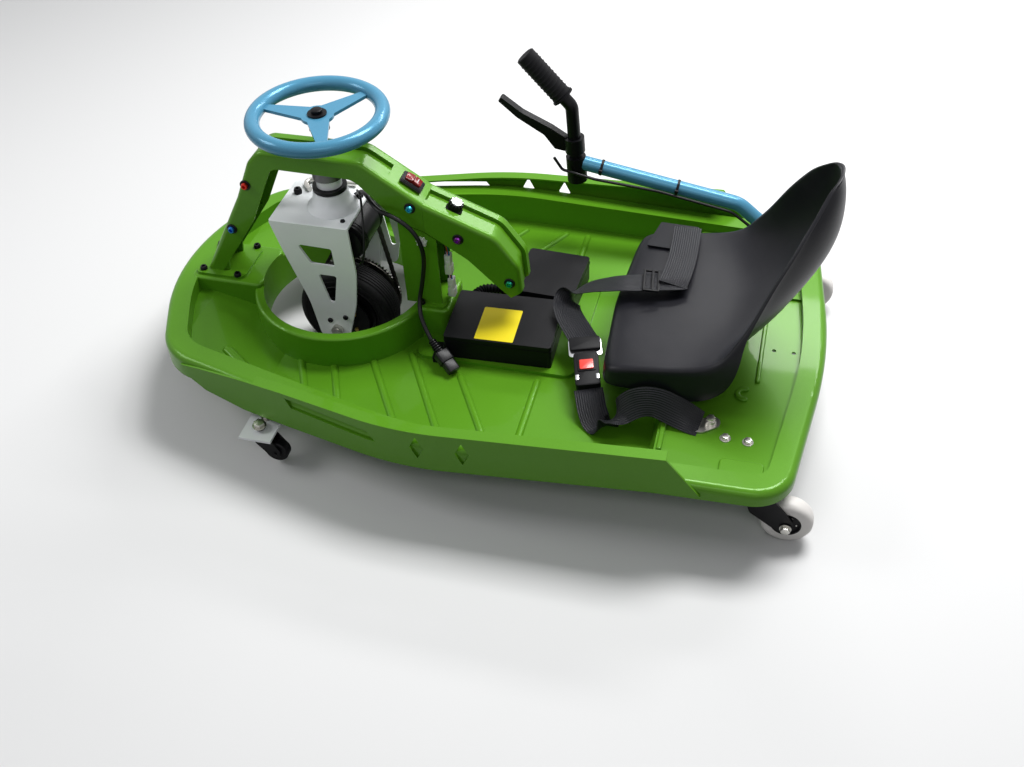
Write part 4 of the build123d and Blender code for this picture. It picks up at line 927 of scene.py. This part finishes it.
def clips():
    """Cable clip on the leg, tie bands, rubber pad under the plug and the thin lead of the motor."""
    m = basis((0.1010, 0.0312, 0.2660), (0, 1, 0), (1, 0, 0.3))
    star = []
    for i in range(56):
        a = 2 * math.pi * i / 56
        r = 0.0072 + 0.0016 * math.cos(7 * a)
        star.append((r * math.cos(a), r * math.sin(a)))
    made("cable_clip", lambda bm: prism(bm, star, -0.0004, 0.0065, m, 0.0009), "nylon", "chassis")
    along = Vector((-267, 0, -48.5)).normalized()

    def bands(bm):
        for x, z in ((-0.2500, 0.2106), (-0.1200, 0.2342)):
            lathe(bm, [(0.0126, -0.0022), (0.0138, -0.0022), (0.0138, 0.0022), (0.0126, 0.0022)],
                  basis((x, BAR_Y, z), along), 28, closed=True)
            head = basis((x, BAR_Y + 0.0150, z + 0.002), along)
            prism(bm, rounded_outline(0.005, 0.0052, 0.001, 2), -0.003, 0.003, head, 0.0004)

    made("tie_bands", bands, "plastic", "drift_frame")
    turn = Matrix.Translation((0.0620, 0.0860, 0)) @ Matrix.Rotation(math.radians(4), 4, "Z")
    made("rubber_pad", lambda bm: prism(bm, rounded_outline(0.034, 0.040, 0.003), 0.0862, 0.0962, turn, 0.001),
         "plastic", "chassis")
    thin = [(0.2240, -0.0290, 0.2950), (0.2200, -0.0210, 0.3080), (0.2060, 0.0020, 0.3090), (0.1920, 0.0380, 0.2900),
            (0.1900, 0.0500, 0.2560), (0.1950, 0.0520, 0.2300), (0.2080, 0.0480, 0.2140), (0.2200, 0.0400, 0.2230)]
    made("sense_lead", lambda bm: sweep_tube(bm, smooth_path(thin, 10), 0.0019, 10), "cable", "steering")


def wiring():
    """Two plugs with their coloured leads behind the middle leg."""

    def shells(bm):
        for z0, z1, x in ((0.196, 0.232, 0.0685), (0.152, 0.186, 0.0665)):
            m = basis((x, 0.012, z0), (0, 0, 1))
            high = z1 - z0
            prism(bm, rounded_outline(0.012, 0.014, 0.002), 0, high * 0.45, m, 0.0006)
            prism(bm, rounded_outline(0.0105, 0.0125, 0.002), high * 0.45, high, m, 0.0006)
            prism(bm, rounded_outline(0.004, 0.016, 0.001), high * 0.3, high * 0.7, m, 0.0004)

    made("lead_plugs", shells, "nylon", "chassis", "wire_connectors")
    route = [(0.0735, 0.012, 0.262), (0.070, 0.011, 0.244), (0.0685, 0.012, 0.226),
             (0.0675, 0.012, 0.190), (0.067, 0.012, 0.160), (0.072, 0.010, 0.149)]
    for i, (dx, dy, look) in enumerate(((0, 0, "red"), (0.0035, 0.001, "cable"), (-0.0028, 0.003, "anod_blue"))):
        path = smooth_path([(x + dx, y + dy, z) for x, y, z in route], 8)
        made(f"lead_{i}", lambda bm: sweep_tube(bm, path, 0.0013, 8), look, "chassis")


box_trim()
conduit()
controls()
clips()
wiring()


# seat
# rows from front lip to head: centre x, z, rim x, y, z, bow of the row, outward lip, drop of the lip's edge
SEAT_ROWS = [
    (-0.2045, 0.1840, -0.2140, 0.1600, 0.1840, 1.0, 0.009, 0.030),
    (-0.2240, 0.1895, -0.2280, 0.1660, 0.1895, 1.0, 0.005, 0.035),
    (-0.2620, 0.1930, -0.2620, 0.1670, 0.1945, 2.0, 0.004, 0.040),
    (-0.3100, 0.1975, -0.3100, 0.1670, 0.2005, 2.0, 0.004, 0.056),
    (-0.3500, 0.2010, -0.3480, 0.1665, 0.2070, 2.2, 0.004, 0.064),
    (-0.3860, 0.2050, -0.3700, 0.1640, 0.2190, 2.3, 0.005, 0.056),
    (-0.4150, 0.2150, -0.3800, 0.1590, 0.2350, 2.3, 0.007, 0.030),
    (-0.4380, 0.2330, -0.3890, 0.1510, 0.2520, 2.3, 0.007, 0.014),
    (-0.4570, 0.2570, -0.4010, 0.1430, 0.2720, 2.3, 0.006, 0.008),
    (-0.4770, 0.2900, -0.4140, 0.1300, 0.3010, 2.3, 0.005, 0.007),
    (-0.4960, 0.3250, -0.4280, 0.1150, 0.3350, 2.3, 0.005, 0.007),
    (-0.5050, 0.3620, -0.4440, 0.0990, 0.3660, 2.3, 0.005, 0.007),
    (-0.5045, 0.3950, -0.4570, 0.0810, 0.3930, 2.3, 0.005, 0.007),
    (-0.5010, 0.4220, -0.4700, 0.0590, 0.4140, 2.4, 0.005, 0.006),
    (-0.4930, 0.4440, -0.4810, 0.0360, 0.4330, 2.4, 0.004, 0.006),
]
SEAT_COLUMNS = (0.0, 0.22, 0.44, 0.64, 0.82, 1.0)


def seat_cage(bm):
    """Control cage of the seat: one sheet with a turned-over rim all the way round."""
    grid = []
    for cx, cz, rx, ry, rz, bow, lip, drop in SEAT_ROWS:
        row = []
        for t in [-c for c in SEAT_COLUMNS[:0:-1]] + list(SEAT_COLUMNS):
            share = abs(t) ** bow
            row.append(bm.verts.new((cx + (rx - cx) * share, ry * t, cz + (rz - cz) * share)))
        grid.append(row)
    for low, high in zip(grid, grid[1:]):
        for k in range(len(low) - 1):
            bm.faces.new((low[k], low[k + 1], high[k + 1], high[k]))
    # rim strip: bend outward, then down along the outside
    count = len(grid)
    width = len(grid[0])
    around = [(0, k) for k in range(width)]
    around += [(i, width - 1) for i in range(1, count)]
    around += [(count - 1, k) for k in range(width - 2, -1, -1)]
    around += [(i, 0) for i in range(count - 2, 0, -1)]
    rings = []
    for i, k in around:
        v = grid[i][k]
        lip, drop = SEAT_ROWS[i][-2:]
        side = 1 if k == width - 1 else (-1 if k == 0 else 0)
        if i == 0:
            out = Vector((1, 0, 0)) if not side else Vector((0.7, side * 0.7, 0))
            down = Vector((0, 0, -1))
        elif i == count - 1:
            out = Vector((-0.3, side * 0.6, 0.8)).normalized()
            down = Vector((-1, 0, -0.4)).normalized()
        else:
            out = Vector((0, side, 0))
            # outside direction: down along the skirt, then back along the wing
            turn = min(1.0, max(0.0, (i - 4) / 4))
            down = Vector((-turn, -side * 0.15 * turn, -(1 - turn) - 0.12 * turn)).normalized()
        first = bm.verts.new(v.co + out * lip + down * lip)
        second = bm.verts.new(v.co + out * lip * 1.1 + down * drop)
        rings.append((v, first, second))
    total = len(rings)
    for n in range(total):
        a, b = rings[n], rings[(n + 1) % total]
        bm.faces.new((a[0], b[0], b[1], a[1]))
        bm.faces.new((a[1], b[1], b[2], a[2]))


def seat():
    """Moulded bucket: the cage smoothed and given its wall thickness."""
    obj = made("seat_shell", seat_cage, "seat", "chassis", "seat")
    sub = obj.modifiers.new("smooth", "SUBSURF")
    sub.levels = sub.render_levels = 2
    wall = obj.modifiers.new("wall", "SOLIDIFY")
    wall.thickness = 0.0045
    wall.offset = -1
    wall.use_even_offset = True
    edge = obj.modifiers.new("edge", "BEVEL")
    edge.width = 0.0012
    edge.segments = 2
    edge.limit_method = "ANGLE"
    edge.angle_limit = math.radians(50)


seat()


# motor cable
CABLE_D = 0.007
CABLE_POINTS = [
    (*GLAND, 0.2937),
    (0.208, -0.012, 0.322),
    (0.168, 0.038, 0.318),
    (0.138, 0.043, 0.314),
    (0.108, 0.043, 0.292),
    (0.095, 0.042, 0.250),
    (0.103, 0.044, 0.196),
    (0.110, 0.054, 0.158),
    (0.098, 0.078, 0.138),
    (0.080, 0.094, 0.122),
]


def cable_curve():
    """Hanging cable from the gland to its plug."""
    data = bpy.data.curves.new("motor_lead", "CURVE")
    data.dimensions = "3D"
    spline = data.splines.new("NURBS")
    spline.points.add(len(CABLE_POINTS) - 1)
    for point, at in zip(spline.points, CABLE_POINTS):
        point.co = (*at, 1)
    spline.order_u = 3
    spline.use_endpoint_u = True
    spline.resolution_u = 16
    data.bevel_depth = CABLE_D / 2
    data.bevel_resolution = 4
    data.use_fill_caps = True
    data.materials.append(MAT["cable"])
    obj = bpy.data.objects.new("motor_lead", data)
    bpy.context.scene.collection.objects.link(obj)
    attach(obj, "chassis")
    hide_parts("motor_cable")
    return obj


def lead_plug():
    """Strain relief with rings and the moulded plug."""
    m = basis((0.0796, 0.0944, 0.1216), (-30, 22, -18), (0, 0, 1))

    def make(bm):
        profile = [(0.0, 0.0)]
        for k in range(6):
            h = 0.002 + 0.0042 * k
            r = 0.0052 + 0.0004 * k
            profile += [(r, h - 0.0012), (r + 0.0012, h), (r + 0.0012, h + 0.0016), (r, h + 0.0022)]
        profile.append((0.0, 0.028))
        lathe(bm, profile, m, 16)
        prism(bm, rounded_outline(0.018, 0.024, 0.004), 0.025, 0.044, m, 0.0012)
        prism(bm, rounded_outline(0.0145, 0.020, 0.003), 0.044, 0.063, m, 0.001)

    return made("lead_plug", make, "cable", "chassis", "cable_plug")


lead = cable_curve()
plug = lead_plug()


# belt: webs as (x, y, z, across x, y, z) stations
NEAR_WEB = [
    (-0.3560, 0.1900, 0.1222, 0.60, 0.80, 0.00),
    (-0.3420, 0.1890, 0.1280, 0.50, 0.80, -0.20),
    (-0.3180, 0.1890, 0.1400, 0.25, 0.65, -0.60),
    (-0.2900, 0.1890, 0.1510, 0.05, 0.50, -0.85),
    (-0.2650, 0.1890, 0.1460, 0.00, 0.50, -0.85),
    (-0.2440, 0.1900, 0.1280, 0.25, 0.50, -0.80),
    (-0.2290, 0.1940, 0.1080, 0.65, 0.35, -0.60),
    (-0.2170, 0.1960, 0.0960, 0.92, 0.25, -0.30),
    (-0.2050, 0.1900, 0.0945, 1.00, 0.25, -0.08),
    (-0.1950, 0.1760, 0.1040, 1.00, 0.27, 0.00),
    (-0.1880, 0.1600, 0.1155, 1.00, 0.28, 0.00),
    (-0.1840, 0.1500, 0.1200, 1.00, 0.28, 0.00),
]
FAR_WEB = [
    (-0.2960, -0.0240, 0.2090, 0.55, 0.85, 0.05),
    (-0.2800, -0.0170, 0.2095, 0.25, 1.00, 0.05),
    (-0.2540, -0.0130, 0.2080, 0.00, 1.00, 0.05),
    (-0.2310, -0.0100, 0.2055, 0.00, 1.00, 0.05),
    (-0.2030, -0.0110, 0.1995, -0.05, 1.00, 0.12),
    (-0.1680, -0.0220, 0.1820, -0.10, 0.96, 0.25),
    (-0.1370, -0.0290, 0.1640, 0.05, 0.95, 0.30),
    (-0.1190, -0.0230, 0.1530, 0.55, 0.75, 0.35),
    (-0.1170, -0.0040, 0.1480, 0.95, 0.25, 0.20),
    (-0.1260, 0.0190, 0.1460, 1.00, 0.15, 0.08),
    (-0.1440, 0.0440, 0.1420, 1.00, 0.26, 0.00),
    (-0.1600, 0.0640, 0.1375, 1.00, 0.28, 0.00),
]
UPPER_WEB = [
    (-0.2830, -0.1620, 0.2085, 1.00, 0.03, 0.00),
    (-0.2850, -0.1200, 0.2095, 1.00, 0.02, 0.00),
    (-0.2860, -0.0800, 0.2105, 1.00, 0.00, 0.02),
    (-0.2850, -0.0450, 0.2125, 0.98, 0.15, 0.04),
    (-0.2830, -0.0200, 0.2135, 0.93, 0.34, 0.05),
    (-0.2810, -0.0060, 0.2125, 0.85, 0.50, 0.05),
]
for name, route, node in (("web_left", NEAR_WEB, "belt_strap_left"), ("web_right", FAR_WEB, "belt_strap_right")):
    obj = piece(name, strap_mesh(name, route, WEB_W, WEB_T), "webbing", "chassis")
    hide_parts(node)


def buckle():
    """Tongue with its plastic head, and a push-button buckle with bright ends."""
    m = basis((-0.1600, 0.0640, 0.1380), (0.02, 0.18, 0.98), (-0.264, 0.946, -0.183))

    def block(bm, s0, s1, width, low, high, radius=0.003, bevel=0.0012, shift=0.0):
        outline = [(x + (s0 + s1) / 2, y + shift) for x, y in rounded_outline(s1 - s0, width, radius)]
        prism(bm, outline, low, high, m, bevel)

    def shell(bm):
        block(bm, 0.027, 0.090, 0.038, -0.010, 0.007, 0.005, 0.0025)
        block(bm, 0.030, 0.064, 0.028, 0.0065, 0.0085, 0.003, 0.0008)

    def plate(bm):
        block(bm, -0.005, 0.030, 0.051, -0.0022, 0.0000, 0.005, 0.0004)
        for side in (1, -1):
            block(bm, 0.070, 0.080, 0.0050, -0.0040, 0.0078, 0.0015, 0.0006, side * 0.0155)

    made("buckle_shell", shell, "plastic", "chassis", "belt_buckle")
    made("tongue_head", lambda bm: block(bm, -0.004, 0.021, 0.048, -0.004, 0.006, 0.004, 0.002), "plastic", "chassis")
    made("tongue_plate", plate, "chrome", "chassis", "belt_tongue")
    made("buckle_button", lambda bm: block(bm, 0.044, 0.062, 0.021, 0.008, 0.0105, 0.002, 0.0008), "red", "chassis")


def adjuster():
    """Slide adjuster on the far web, and the upper run that folds over at it."""
    m = basis((-0.2480, -0.0120, 0.2095), (-0.06, -0.05, 1), (1, 0.12, 0.06))

    def frame_bars(bm):
        for x in (-0.011, -0.002, 0.011):
            outline = [(x + a, b) for a, b in rounded_outline(0.0036, 0.052, 0.0016)]
            prism(bm, outline, -0.0005, 0.0035, m, 0.0008)
        for side in (1, -1):
            outline = [(a, side * 0.0255 + b) for a, b in rounded_outline(0.026, 0.004, 0.0018)]
            prism(bm, outline, -0.0005, 0.0030, m, 0.0008)

    made("web_adjuster", frame_bars, "plastic", "chassis")
    piece("web_upper", strap_mesh("web_upper", UPPER_WEB, WEB_W, WEB_T), "webbing", "chassis")


buckle()
adjuster()


# drift bar
def bar_trim():
    """Rings, end flange and end cap of the grip."""
    axis = Vector((70, 0, 76)).normalized()
    m = basis((-0.054, BAR_Y, 0.3602), axis)

    def rings(bm):
        for k in range(11):
            h = 0.006 + 0.0075 * k
            lathe(bm, [(0.0160, h - 0.0016), (0.0174, h - 0.0006), (0.0174, h + 0.0006), (0.0160, h + 0.0016)],
                  m, 28, closed=True)
        lathe(bm, [(0.0155, 0.0), (0.0195, 0.0), (0.0195, 0.003), (0.0155, 0.0035)], m, 28, closed=True)
        lathe(bm, [(0.0, 0.0922), (0.0145, 0.0922), (0.0145, 0.0932), (0.0, 0.0945)], m, 28)

    made("grip_rings", rings, "grip", "drift_frame")


bar_trim()
